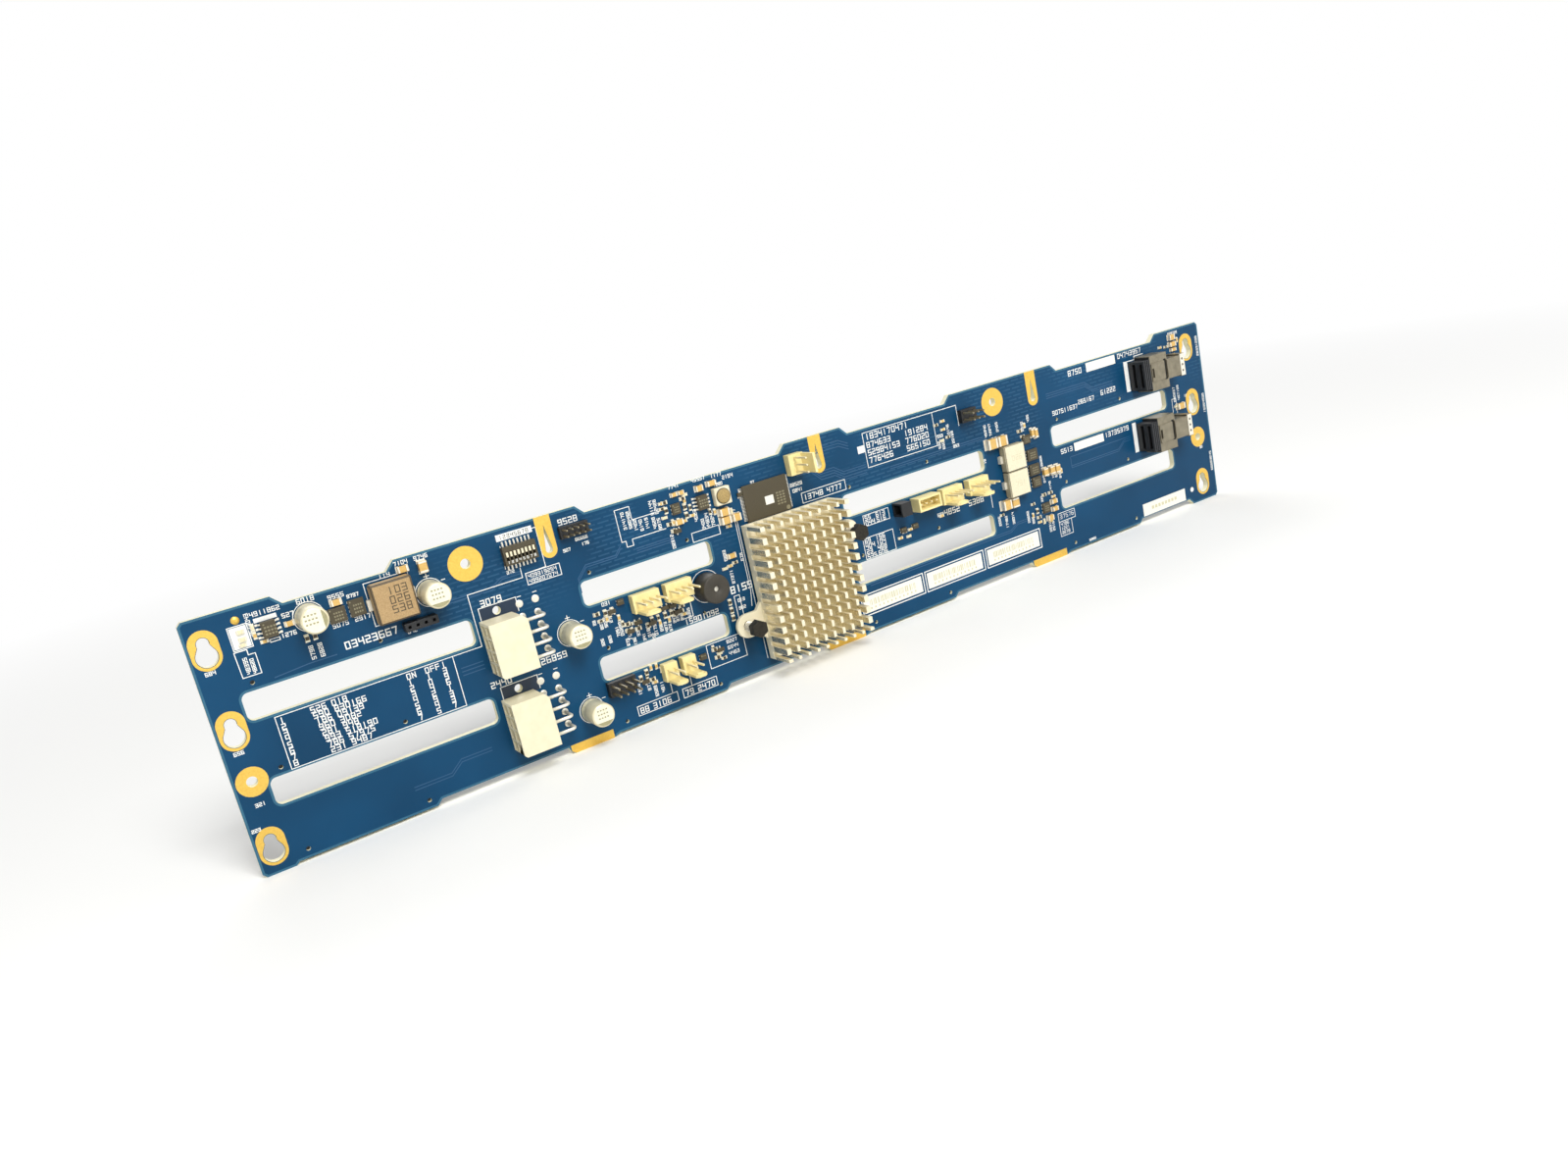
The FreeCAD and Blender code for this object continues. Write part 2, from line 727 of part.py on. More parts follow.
switch_body = centred_block(switch_across, switch_up, 0.3, switch_length, switch_depth, switch_rise - 0.3)
switch_legs = []
for number in range(switch_ways):
    for side in (-1, 1):
        root = switch_up + side * (switch_depth / 2.0 - 0.05)
        switch_legs.append(centred_block(
            slider_across(number), root + side * 0.8, 0, 0.5, 1.7, 0.5))
pockets = []
for number in range(switch_ways):
    across = slider_across(number)
    narrow = slider_width + 2.0 * slider_play
    wide = narrow + 2.0 * foot_extra
    pockets.append(block(
        across - narrow / 2.0, slot_low, foot_out, narrow, slot_room, switch_rise))
    pockets.append(block(
        across - wide / 2.0, slot_low - 0.2, foot_out - slider_play, wide, slot_room + 0.4,
        foot_rise + 2.0 * slider_play))
    slider = block(
        across - slider_width / 2.0, slot_top - slider_play - slider_length, foot_out,
        slider_width, slider_length, switch_rise - foot_out + 0.35)
    foot = block(
        across - slider_width / 2.0 - foot_extra, slot_top - slider_play - slider_length, foot_out,
        slider_width + 2.0 * foot_extra, slider_length, foot_rise)
    write("switch_slider_%d" % (number + 1), joined([slider, foot]))
switch_block = joined([switch_body] + switch_legs).cut(Part.makeCompound(pockets))
write("switch_block", switch_block)

# ------------------------------------------------------- fan and signal headers
header_pins = []


def post(across, up, rise, thick, out_low):
    return centred_block(across, up, out_low, thick, thick, rise)


def walled_header(across_low, up_low, ways, base_length, wall_inset, wall_length):
    # A low base with a springy wall standing along part of its lower side.
    base = block(across_low, up_low, 0, base_length, fan_base_depth, fan_base_rise)
    wall_left = across_low + wall_inset
    wall_right = wall_left + wall_length
    wall = bar_up_board([
        (wall_left, fan_base_rise),
        (wall_right, fan_base_rise),
        (wall_right, fan_wall_rise - fan_wall),
        (wall_right - fan_wall, fan_wall_rise),
        (wall_left + fan_wall, fan_wall_rise),
        (wall_left, fan_wall_rise - fan_wall),
    ], up_low, fan_wall)
    hook = bar_along_board([
        (up_low + fan_wall, fan_wall_rise - 2.2),
        (up_low + fan_wall + 0.5, fan_wall_rise - 1.6),
        (up_low + fan_wall, fan_wall_rise - 0.8),
    ], wall_left + fan_wall, wall_length - 2.0 * fan_wall)
    holes = []
    first = across_low + base_length / 2.0 - (ways - 1) * fan_pitch / 2.0
    pin_up = up_low + fan_wall + 2.9
    for number in range(ways):
        across = first + number * fan_pitch
        holes.append(post(across, pin_up, fan_base_rise + 2.0, square_pin, -1.0))
        header_pins.append(post(across, pin_up, fan_wall_rise, square_pin, 0))
    return joined([base, wall, hook]).cut(Part.makeCompound(holes))


middle_low = row(1) + 8.45
left_fans = [
    walled_header(column(1) - 7.5, middle_low, 4, 10.2, 0.7, 5.6),
    walled_header(column(1) + 5.1, middle_low, 4, 10.2, 0.7, 5.6),
]
write("left_fan_headers", Part.makeCompound(left_fans))
right_fans = [
    walled_header(column(2) + 20.8, middle_low, 4, 10.2, 0.7, 5.6),
    walled_header(column(2) + 34.3, middle_low, 4, 10.2, 0.7, 5.6),
]
write("right_fan_headers", Part.makeCompound(right_fans))
signal_low = row(2) + 8.6
signals = [
    walled_header(column(1) - 2.4, signal_low, 2, 5.2, 0.4, 4.4),
    walled_header(column(1) + 4.9, signal_low, 2, 5.2, 0.4, 4.4),
]
write("signal_headers", Part.makeCompound(signals))

# The fan header by the top edge stands upright with its wall to the right.
upright_left = column(2) - 43.7
upright_low = under_top(11.5)
upright_base = block(upright_left, upright_low, 0, fan_base_depth, 7.5, fan_base_rise)
upright_wall = block(
    upright_left + fan_base_depth - fan_wall, upright_low + 0.2, fan_base_rise,
    fan_wall, 7.1, fan_wall_rise - fan_base_rise)
upright_holes = []
for number in range(3):
    across = upright_left + fan_base_depth - fan_wall - 2.9
    up = upright_low + 3.75 + (number - 1) * fan_pitch
    upright_holes.append(post(across, up, fan_base_rise + 2.0, square_pin, -1.0))
    header_pins.append(post(across, up, fan_wall_rise, square_pin, 0))
upright = joined([upright_base, upright_wall]).cut(Part.makeCompound(upright_holes))
write("top_fan_header", upright)


def tray(across_low, up_low, width, height, rise, wall, floor):
    # A shrouded header: a box with an open hollow facing out.
    shell = block(across_low, up_low, 0, width, height, rise)
    hollow = block(
        across_low + wall, up_low + wall, floor,
        width - 2.0 * wall, height - 2.0 * wall, rise)
    return shell.cut(hollow)


sensor_left = column(2) + 7.3
sensor_low = row(1) + 9.5
sensor = tray(sensor_left, sensor_low, 10.8, 5.3, 5.6, 0.8, 1.4)
sensor_holes = []
for number in range(4):
    across = sensor_left + 5.4 + (number - 1.5) * 2.5
    sensor_holes.append(post(across, sensor_low + 2.65, 3.0, square_pin, -1.0))
    header_pins.append(post(across, sensor_low + 2.65, 4.8, square_pin, 0))
write("sensor_header", sensor.cut(Part.makeCompound(sensor_holes)))

# A low four-way socket strip.
serial_across = column(0) + 31.1
serial_up = under_top(20.6)
serial = centred_block(serial_across, serial_up, 0, 10.3, 2.6, 3.6)
serial_holes = []
for number in range(4):
    across = serial_across + (number - 1.5) * 2.54
    serial_holes.append(post(across, serial_up, 3.6, 0.9, 1.2))
write("serial_header", serial.cut(Part.makeCompound(serial_holes)))

# The bus header opens sideways, to the left.
bus_left = column(2) - 1.4
bus_low = row(1) + 10.1
bus_body = block(bus_left, bus_low, 0, 4.8, 5.2, 6.0)
bus_hollow = block(bus_left - 1.0, bus_low + 0.8, 1.0, 4.6, 3.6, 4.0)
write("bus_header", bus_body.cut(bus_hollow))


def pin_grid(across, up, across_ways, up_ways, pitch, thick, base_rise, pin_rise):
    # A plain pin header: a low block full of square pins.
    width = across_ways * pitch
    height = up_ways * pitch
    body = centred_block(across, up, 0, width, height, base_rise)
    holes = []
    for i in range(across_ways):
        for j in range(up_ways):
            pin_across = across + (i - (across_ways - 1) / 2.0) * pitch
            pin_up = up + (j - (up_ways - 1) / 2.0) * pitch
            holes.append(post(pin_across, pin_up, base_rise + 2.0, thick, -1.0))
            header_pins.append(post(pin_across, pin_up, pin_rise, thick, 0))
    return body.cut(Part.makeCompound(holes))


write("debug_header", pin_grid(column(1) - 20.4, under_top(7.1), 5, 2, 2.0, 0.5, 2.0, 6.0))
write("option_header", pin_grid(column(1) - 17.8, row(2) + 12.8, 4, 2, 2.54, 0.64, 2.5, 8.5))
write("panel_header", pin_grid(column(2) + 41.0, under_top(9.4), 3, 2, 2.54, 0.64, 2.5, 8.5))
write("header_pins", Part.makeCompound(header_pins))


# ------------------------------------------------------- side ports
port_left = column(3) + 26.3


def port_housing(centre_up):
    nose = centred_block(
        port_left + port_nose_length / 2.0, centre_up, 0,
        port_nose_length, port_nose_width, port_rise)
    inner_length = port_cage_length + port_tail_length - sheet
    core = centred_block(
        port_left + port_nose_length + port_cage_length / 2.0 - sheet / 2.0, centre_up, 0,
        port_cage_length - sheet, port_width - 2.0 * sheet, port_rise - sheet)
    tail = centred_block(
        port_left + port_nose_length + inner_length / 2.0, centre_up, 0,
        inner_length, port_tail_width - 2.0 * sheet, port_rise - sheet)
    slots = []
    for out in (2.2, 6.0):
        slots.append(centred_block(
            port_left + 4.5, centre_up, out, 11.0, port_nose_width - 2.2, 1.5))
    return joined([nose, core, tail]).cut(Part.makeCompound(slots))


def port_shell(centre_up):
    cage_left = port_left + port_nose_length
    cage = centred_block(
        cage_left + port_cage_length / 2.0, centre_up, 0,
        port_cage_length, port_width, port_rise)
    panel = centred_block(
        cage_left + port_cage_length / 2.0, centre_up + 0.3, port_rise,
        port_cage_length - 0.4, 7.6, 0.5)
    tail_left = cage_left + port_cage_length
    tail = centred_block(
        tail_left + port_tail_length / 2.0, centre_up, 0,
        port_tail_length, port_tail_width, port_rise)
    clamp = centred_block(
        tail_left + port_tail_length + port_clamp_length / 2.0, centre_up, 0,
        port_clamp_length, port_tail_width + 1.2, port_rise)
    hollows = [
        centred_block(
            cage_left + port_cage_length / 2.0 - sheet / 2.0 - 0.5, centre_up, -1.0,
            port_cage_length - sheet + 1.0, port_width - 2.0 * sheet, port_rise - sheet + 1.0),
        centred_block(
            tail_left + (port_tail_length - sheet) / 2.0 - 1.0, centre_up, -1.0,
            port_tail_length - sheet + 2.0, port_tail_width - 2.0 * sheet,
            port_rise - sheet + 1.0),
        centred_block(cage_left + 1.1, centre_up + 0.1, port_rise - 1.0, 1.1, 3.9, 2.0),
        centred_block(cage_left + port_cage_length - 1.4, centre_up + 0.3, port_rise - 1.0,
                      1.6, 8.8, 2.0),
        centred_block(
            tail_left + port_tail_length + (port_clamp_length - sheet) / 2.0, centre_up, -1.0,
            port_clamp_length - sheet, port_tail_width + 0.4, port_rise - sheet + 1.0),
    ]
    clamp_centre = tail_left + port_tail_length + port_clamp_length / 2.0
    for side in (-1, 1):
        hollows.append(many_sided(clamp_centre, centre_up + side * 2.5, port_rise - 1.0, 0.5, 8, 2.0))
    return joined([cage, panel, tail, clamp]).cut(Part.makeCompound(hollows))


for number in (0, 1):
    centre_up = row(number) + 7.5
    write("port_housing_%d" % (number + 1), port_housing(centre_up))
    write("port_shell_%d" % (number + 1), port_shell(centre_up))


# ------------------------------------------------------- drive connectors
def drive_connector(across, up):
    # The flange stands on the drive side of the board.  A slotted tongue block
    # and two guide posts reach out of it towards the drive.
    depth = drive_below + drive_above
    middle = up + (drive_above - drive_below) / 2.0
    flange = centred_block(across, middle, back - drive_flange, drive_length, depth, drive_flange)
    block_rise = drive_rise - drive_flange - 0.8
    tongue = centred_block(
        across, middle, back - drive_flange - block_rise, 33.4, depth - 1.2, block_rise)
    guides = []
    for side in (-1, 1):
        spot = across + side * (drive_length / 2.0 - 1.6)
        low = middle - 2.4
        guides.append(bar_up_board([
            (spot - 1.5, back - drive_flange),
            (spot + 1.5, back - drive_flange),
            (spot + 1.5, back - drive_rise + 1.2),
            (spot + 0.7, back - drive_rise),
            (spot - 0.7, back - drive_rise),
            (spot - 1.5, back - drive_rise + 1.2),
        ], low, 4.8))
    pegs = []
    for side in (-1, 1):
        centre = across + side * peg_spacing / 2.0
        pegs.append(many_sided(centre, up, back, peg_hole / 2.0 - 0.05, 8, board_thickness - 0.9))
    floor = back - drive_flange - block_rise
    slots = [
        centred_block(across - 6.2, middle + 0.5, floor - 1.0, 18.4, drive_slot, drive_slot_depth + 1.0),
        centred_block(across + 10.6, middle + 0.5, floor - 1.0, 10.0, drive_slot, drive_slot_depth + 1.0),
        centred_block(across + 4.2, middle - 0.2, floor - 1.0, 3.0, drive_slot, drive_slot_depth + 1.0),
    ]
    return joined([flange, tongue] + guides + pegs).cut(Part.makeCompound(slots))


contacts = []
for level in range(row_count):
    for number in range(column_count):
        across = column(number)
        up = row(level)
        index = level * column_count + number + 1
        write("drive_connector_%d" % index, drive_connector(across, up))
        middle = up + (drive_above - drive_below) / 2.0 + 0.5
        mouth = back - drive_rise + 0.8
        for group, width in ((-6.2, 17.0), (10.6, 8.6)):
            contacts.append(centred_block(
                across + group, middle + drive_slot / 2.0 - 0.2,
                mouth + 1.2, width, 0.4, drive_slot_depth - 1.2))
write("drive_contacts", Part.makeCompound(contacts))
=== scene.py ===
import math
import random

import bmesh
import bpy
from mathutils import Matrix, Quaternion, Vector
from mathutils.geometry import tessellate_polygon


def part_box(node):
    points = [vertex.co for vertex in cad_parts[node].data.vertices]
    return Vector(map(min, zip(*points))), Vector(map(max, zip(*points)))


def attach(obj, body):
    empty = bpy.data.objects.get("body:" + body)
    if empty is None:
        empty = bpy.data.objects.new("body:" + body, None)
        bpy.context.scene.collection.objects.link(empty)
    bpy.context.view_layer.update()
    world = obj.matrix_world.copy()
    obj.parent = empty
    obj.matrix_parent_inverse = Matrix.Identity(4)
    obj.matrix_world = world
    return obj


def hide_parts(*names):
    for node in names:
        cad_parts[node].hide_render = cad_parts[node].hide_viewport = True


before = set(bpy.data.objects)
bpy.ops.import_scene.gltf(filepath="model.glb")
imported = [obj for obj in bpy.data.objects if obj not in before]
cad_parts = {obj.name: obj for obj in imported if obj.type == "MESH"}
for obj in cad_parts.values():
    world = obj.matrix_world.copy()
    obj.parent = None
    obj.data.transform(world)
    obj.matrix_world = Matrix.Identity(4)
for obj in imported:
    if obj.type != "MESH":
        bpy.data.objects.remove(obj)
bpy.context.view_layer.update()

# The looks of a drive backplane board.  Lengths are millimetres until the last
# moment.  A place is given as across (from the board's left end), down (from
# its top edge) and out (from the component face, towards the viewer's side).
MM = 0.001
board_low, board_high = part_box("circuit_board")
LEFT = board_low.x
TOP = board_high.z
FACE = board_low.y
BOARD_LENGTH = (board_high.x - board_low.x) / MM
BOARD_HEIGHT = (board_high.z - board_low.z) / MM
BOARD_THICKNESS = (board_high.y - board_low.y) / MM
HAIR = 0.001 * MM

COLUMN_PITCH = 106.6
ROW_PITCH = 26.5
FIRST_COLUMN = 32.5


def spot(across, down, out):
    return Vector((LEFT + across * MM, FACE - out * MM, TOP - down * MM))


def box_of(node):
    """A node's box as (left, top, low, right, bottom, high) in millimetres."""
    low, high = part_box(node)
    return (
        (low.x - LEFT) / MM, (TOP - high.z) / MM, (FACE - high.y) / MM,
        (high.x - LEFT) / MM, (TOP - low.z) / MM, (FACE - low.y) / MM,
    )


def middle_of(box):
    """The middle of a box and its size: across, down, width, height, and how far out it ends."""
    left, top, _, right, bottom, high = box
    return (left + right) / 2.0, (top + bottom) / 2.0, right - left, bottom - top, high


def oblong(left, top, right, bottom):
    return [(left, top), (right, top), (right, bottom), (left, bottom)]


# ---- colours and nodes
# With this divisor each light or dark band of a wave texture is about as wide as is stated.
BANDS = 6.28
# Sockets of a colour mix: the share, the two colours, and the result among the outputs.
SHARE, FIRST, SECOND, MIXED = 0, 6, 7, 2


def linear(code):
    """An sRGB hex colour as the linear values that a shader takes."""
    parts = [int(code[i:i + 2], 16) / 255.0 for i in (1, 3, 5)]
    return tuple(c / 12.92 if c <= 0.04045 else ((c + 0.055) / 1.055) ** 2.4 for c in parts) + (1.0,)


def add(tree, kind, settings=None, links=None):
    """Adds one node, sets its values and joins the sockets that feed it."""
    node = tree.nodes.new("ShaderNode" + kind)
    for name, value in (settings or {}).items():
        if isinstance(name, int) or name in node.inputs:
            node.inputs[name].default_value = value
        else:
            setattr(node, name, value)
    for name, source in (links or {}).items():
        tree.links.new(source, node.inputs[name])
    return node


def blank(name):
    material = bpy.data.materials.new(name)
    material.use_nodes = True
    tree = material.node_tree
    tree.nodes.clear()
    shader = add(tree, "BsdfPrincipled")
    add(tree, "OutputMaterial", {}, {"Surface": shader.outputs["BSDF"]})
    return material, tree, shader


def times(tree, one, other):
    """The product of two sockets."""
    return add(tree, "Math", {"operation": "MULTIPLY"}, {0: one, 1: other}).outputs["Value"]


def ramped(tree, source, dark, light, start=0.0, end=1.0):
    """A colour that runs from one hex colour to another as the source grows."""
    ramp = add(tree, "ValToRGB", {}, {"Fac": source})
    for stop, place, code in zip(ramp.color_ramp.elements, (start, end), (dark, light)):
        stop.position = place
        stop.color = linear(code)
    return ramp.outputs["Color"]


def bumped(tree, shader, source, strength, depth):
    bump = add(tree, "Bump", {"Strength": strength, "Distance": depth * MM}, {"Height": source})
    tree.links.new(bump.outputs["Normal"], shader.inputs["Normal"])


def grained(tree, shader, light, dark, rough, grain, depth, contrast=0.5, rough_span=0.08):
    """Colour, roughness and bump that follow one grain of the given size in millimetres."""
    place = add(tree, "TexCoord").outputs["Object"]
    noise = add(tree, "TexNoise", {"Scale": 1.0 / (grain * MM), "Detail": 4.0}, {"Vector": place})
    grains = noise.outputs["Fac"]
    colour = ramped(tree, grains, dark, light, 0.5 - contrast / 2.0, 0.5 + contrast / 2.0)
    tree.links.new(colour, shader.inputs["Base Color"])
    span = add(tree, "MapRange", {"To Min": rough - rough_span, "To Max": rough + rough_span},
               {"Value": grains})
    tree.links.new(span.outputs["Result"], shader.inputs["Roughness"])
    if depth:
        bumped(tree, shader, grains, 0.6, depth)
    return place


def grain_finish(name, light, dark, rough, grain, depth, metallic=0.0, ior=1.5, contrast=0.5):
    material, tree, shader = blank(name)
    shader.inputs["Metallic"].default_value = metallic
    if not metallic:
        shader.inputs["IOR"].default_value = ior
    grained(tree, shader, light, dark, rough, grain, depth, contrast)
    return material


# Screen-printed liquid solder mask over glass laminate: a satin blue with faint
# rows of buried tracks, and the pale sawn laminate bare on every edge.
MASK_GLOSS, MASK_ROUGH, EDGE_ROUGH = 0.18, 0.34, 0.75
TRACK_LENGTH, TRACK_SPACING, TRACK_GAP, TRACK_SHOW = 5.0, 1.5, 0.55, 0.19
CLOUD_SIZE, PATCH_SIZE, CLOTH_LAYER = 40, 22, 0.25
# In metres: the buried tracks begin between these heights, and between these places along.
TRACKS_FROM_HEIGHT = {"From Min": 0.045, "From Max": 0.055}
TRACKS_FROM_PLACE = {"From Min": -0.165, "From Max": -0.14}


def solder_mask():
    material, tree, shader = blank("solder_mask_on_glass_laminate")
    shader.inputs["IOR"].default_value = 1.5
    shader.inputs["Specular IOR Level"].default_value = MASK_GLOSS
    place = add(tree, "TexCoord").outputs["Object"]
    cloud = add(tree, "TexNoise", {"Scale": 1.0 / (CLOUD_SIZE * MM), "Detail": 3.0}, {"Vector": place})
    mask = ramped(tree, cloud.outputs["Fac"], "#083a5a", "#0d466b", 0.3, 0.7)
    # Tracks below the mask run along the board as dashes.
    parts = add(tree, "SeparateXYZ", {}, {0: place})
    flat_place = add(tree, "CombineXYZ", {}, {"X": parts.outputs["X"], "Y": parts.outputs["Z"]})
    dashes = add(tree, "TexBrick", {
        "Scale": 1.0 / MM, "Brick Width": TRACK_LENGTH, "Row Height": TRACK_SPACING,
        "Mortar Size": TRACK_GAP, "Mortar Smooth": 0.2, "Color1": linear("#ffffff"),
        "Color2": linear("#ffffff"), "Mortar": linear("#000000")},
        {"Vector": flat_place.outputs["Vector"]})
    zones = add(tree, "TexNoise", {"Scale": 1.0 / (PATCH_SIZE * MM), "Detail": 1.0}, {"Vector": place})
    zone = add(tree, "MapRange", {"From Min": 0.46, "From Max": 0.6, "To Max": TRACK_SHOW},
               {"Value": zones.outputs["Fac"]})
    # They fill the field above the upper windows and fade towards the left end.
    upper = add(tree, "MapRange", TRACKS_FROM_HEIGHT, {"Value": parts.outputs["Z"]})
    inner = add(tree, "MapRange", TRACKS_FROM_PLACE, {"Value": parts.outputs["X"]})
    field = times(tree, upper.outputs["Result"], inner.outputs["Result"])
    amount = times(tree, dashes.outputs["Color"], times(tree, field, zone.outputs["Result"]))
    tracked = add(tree, "Mix", {"data_type": "RGBA", SECOND: linear("#4f7fa4")},
                  {SHARE: amount, FIRST: mask})
    # Layers of glass cloth show on the sawn edge.
    layers = add(tree, "TexWave", {"bands_direction": "Y", "Scale": 1.0 / (CLOTH_LAYER * MM) / BANDS,
                                   "Distortion": 1.0}, {"Vector": place})
    edge = ramped(tree, layers.outputs["Fac"], "#e3dfc0", "#f0ecd2")
    facing = add(tree, "SeparateXYZ", {}, {0: add(tree, "NewGeometry").outputs["Normal"]})
    square = add(tree, "Math", {"operation": "ABSOLUTE"}, {0: facing.outputs["Y"]})
    on_face = add(tree, "Math", {"operation": "GREATER_THAN", 1: 0.5}, {0: square.outputs["Value"]})
    colour = add(tree, "Mix", {"data_type": "RGBA"},
                 {SHARE: on_face.outputs["Value"], FIRST: edge, SECOND: tracked.outputs[MIXED]})
    tree.links.new(colour.outputs[MIXED], shader.inputs["Base Color"])
    rough = add(tree, "MapRange", {"To Min": EDGE_ROUGH, "To Max": MASK_ROUGH},
                {"Value": on_face.outputs["Value"]})
    tree.links.new(rough.outputs["Result"], shader.inputs["Roughness"])
    bumped(tree, shader, amount, 0.3, 0.03)
    return material


# Extruded and cross-cut aluminium, anodised a pale champagne: satin, with fine saw lines.
SAW_LINE = 0.5


def champagne_aluminium():
    material, tree, shader = blank("champagne_anodised_aluminium")
    shader.inputs["Metallic"].default_value = 0.2
    place = grained(tree, shader, "#f6eed2", "#eadfc0", 0.48, 6.0, 0.0, 0.6)
    saw = add(tree, "TexWave", {"bands_direction": "Z", "Scale": 1.0 / (SAW_LINE * MM) / BANDS,
                                "Distortion": 3.0, "Detail": 2.0}, {"Vector": place})
    bumped(tree, shader, saw.outputs["Fac"], 0.2, 0.02)
    return material


# Each finish: name, light and dark colour, roughness, size of its grain, depth of its relief,
# and for some how metallic it is, its refraction and its contrast.
FINISH = {"mask": solder_mask(), "champagne": champagne_aluminium()}
for key, *looks in (
    # The flanks of the fins as they left the press, which no saw has touched: smooth, so that
    # they mirror what stands beside them, the dark board outside and one another within.
    ("drawn", "champagne_aluminium_as_extruded", "#e9dfc2", "#dfd4b4", 0.27, 5.0, 0.0, 0.8),
    # Solder mask over a raised copper track: the same blue, a little lighter.
    ("track", "solder_mask_over_copper", "#1d5078", "#184a70", 0.34, 8.0, 0.0),
    # Solder mask over bare laminate where the copper stops short of an edge: greener.
    ("rim", "solder_mask_over_bare_laminate", "#2a6580", "#235c76", 0.36, 6.0, 0.0),
    # Solder mask where a window in both copper layers lets no light back: almost navy.
    ("dark_mask", "solder_mask_over_copper_window", "#0c2740", "#0a2138", 0.34, 6.0, 0.0),
    # Electroplated gold over copper: warm, a little orange-peeled by the copper below.
    ("gold", "electroplated_gold", "#f6cd64", "#e9bd55", 0.36, 0.6, 0.01, 0.75),
    # Screen-printed epoxy ink: opaque white, dull, slightly starved in places.
    ("ink", "screen_printed_white_ink", "#f2f2ec", "#e4e6e2", 0.6, 0.5, 0.0),
    # Reflowed tin: bright and rippled.
    ("tin", "reflowed_tin", "#f6f1e2", "#e3decf", 0.34, 0.5, 0.02, 0.4),
    # Drawn tinned pin, its colour painted cream as a reflection of the header round it.
    ("warm_tin", "warm_tinned_pin", "#f6e9bd", "#e6d8ac", 0.36, 0.5, 0.0, 0.3),
    # Drawn plated pin, painted a dull gold-brown as a reflection of the black housing round it.
    ("pin_painted_dark_reflection", "plated_pin_painted_dark_reflection", "#a3987a", "#7c7159", 0.35, 0.4, 0.0, 0.6),
    # Injection moulded nylon: milky, with a soft sheen and faint flow marks.
    ("nylon", "moulded_natural_nylon", "#efe6c6", "#e6dcba", 0.42, 3.0, 0.01, 0.0, 1.53),
    ("cream", "moulded_cream_nylon", "#f6e6a8", "#ecd994", 0.42, 3.0, 0.01, 0.0, 1.53),
    # Moulded glass-filled polyester: near black with a dry grain.
    ("black", "moulded_black_polyester", "#1f2022", "#131415", 0.5, 0.4, 0.01),
    # The ribs' lighter grey is a painted highlight on the same black plastic.
    ("rib", "moulded_rib_painted_highlight", "#3c3e42", "#2c2e31", 0.3, 0.4, 0.0),
    ("olive", "moulded_olive_black_plastic", "#3a352b", "#302c24", 0.5, 0.8, 0.01),
    # Transfer moulded epoxy of a chip: matt, warm charcoal.
    ("epoxy", "moulded_chip_epoxy", "#4c4430", "#3f3826", 0.55, 0.25, 0.008),
    # Laser marks on epoxy: the surface is burnt to a pale grey.
    ("mark", "laser_marked_epoxy", "#8d866a", "#7b755b", 0.7, 0.2, 0.0),
    # Pressed iron powder in resin: tan, dry and speckled.
    ("powder", "pressed_iron_powder", "#b89a6c", "#a4865a", 0.55, 0.3, 0.02, 0.0, 1.5, 0.3),
    # The skirt of the same pressing, painted dark as shade on the choke's sides; the marks on its top take
    # the same dark colour.
    ("painted_shade_and_mark", "iron_powder_painted_shade_and_marks", "#5d4f3a", "#4a3e2c", 0.6, 0.3, 0.02, 0.0, 1.5, 0.3),
    # Ground ferrite under a clear coat: pale and almost smooth on top, grey at the sides.
    ("ferrite", "ground_ferrite", "#ede4c6", "#e0d6b6", 0.5, 0.5, 0.01),
    ("ferrite_side", "sawn_ferrite_side", "#aaa288", "#958d74", 0.55, 0.5, 0.01),
    # Wound and varnished bobbin end: brassy brown.
    ("bobbin", "varnished_bobbin_end", "#b89f62", "#92794a", 0.35, 0.5, 0.02),
    # Fired ceramic of chip capacitors: tan to cream.
    ("tan", "fired_tan_ceramic", "#e0b868", "#cda456", 0.4, 0.4, 0.01, 0.0, 1.6),
    ("cream_ceramic", "fired_cream_ceramic", "#ece2bc", "#dacfa6", 0.4, 0.4, 0.01, 0.0, 1.6),
    # Printed and glassed film of chip resistors: brown black.
    ("film", "glazed_resistor_film", "#3c3426", "#2c261b", 0.4, 0.3, 0.0),
    # Drawn aluminium can in a clear film: pale, with a soft gleam.
    ("can", "drawn_aluminium_can", "#efe6c4", "#e2d8b4", 0.34, 2.0, 0.0, 0.25),
    ("can_top", "filmed_can_top", "#f8f3dc", "#efe8cb", 0.4, 1.0, 0.0, 0.1),
    ("can_stripe", "printed_olive_stripe", "#a8a27c", "#98926c", 0.5, 0.8, 0.0),
    # Steel blackened in hot oxide: dark brown-black, oily gleam.
    ("dark_steel", "black_oxide_steel", "#37332a", "#24211b", 0.4, 0.8, 0.01, 0.6),
    # Hard drawn spring wire: bright steel.
    ("wire", "drawn_spring_wire", "#f2ecdb", "#d8d1bf", 0.3, 0.5, 0.01, 0.6),
    # Nickel plated sheet, stamped and folded: warm grey, with rolling marks.
    ("nickel", "nickel_plated_sheet", "#958d79", "#7b7462", 0.36, 2.5, 0.01, 0.6),
    # Coated label paper: clean white, dull.
    ("label", "coated_label_paper", "#f3f1e6", "#ebe9dc", 0.62, 0.8, 0.004),
    ("label_mark", "faded_label_print", "#d9d3b0", "#cdc6a2", 0.62, 0.8, 0.0),
    # Soft filled silicone sheet: pale blue-grey and rubbery.
    ("pad", "filled_silicone_sheet", "#9fb3bf", "#8a9ea9", 0.8, 0.6, 0.01, 0.0, 1.45),
):
    FINISH[key] = grain_finish(*looks)


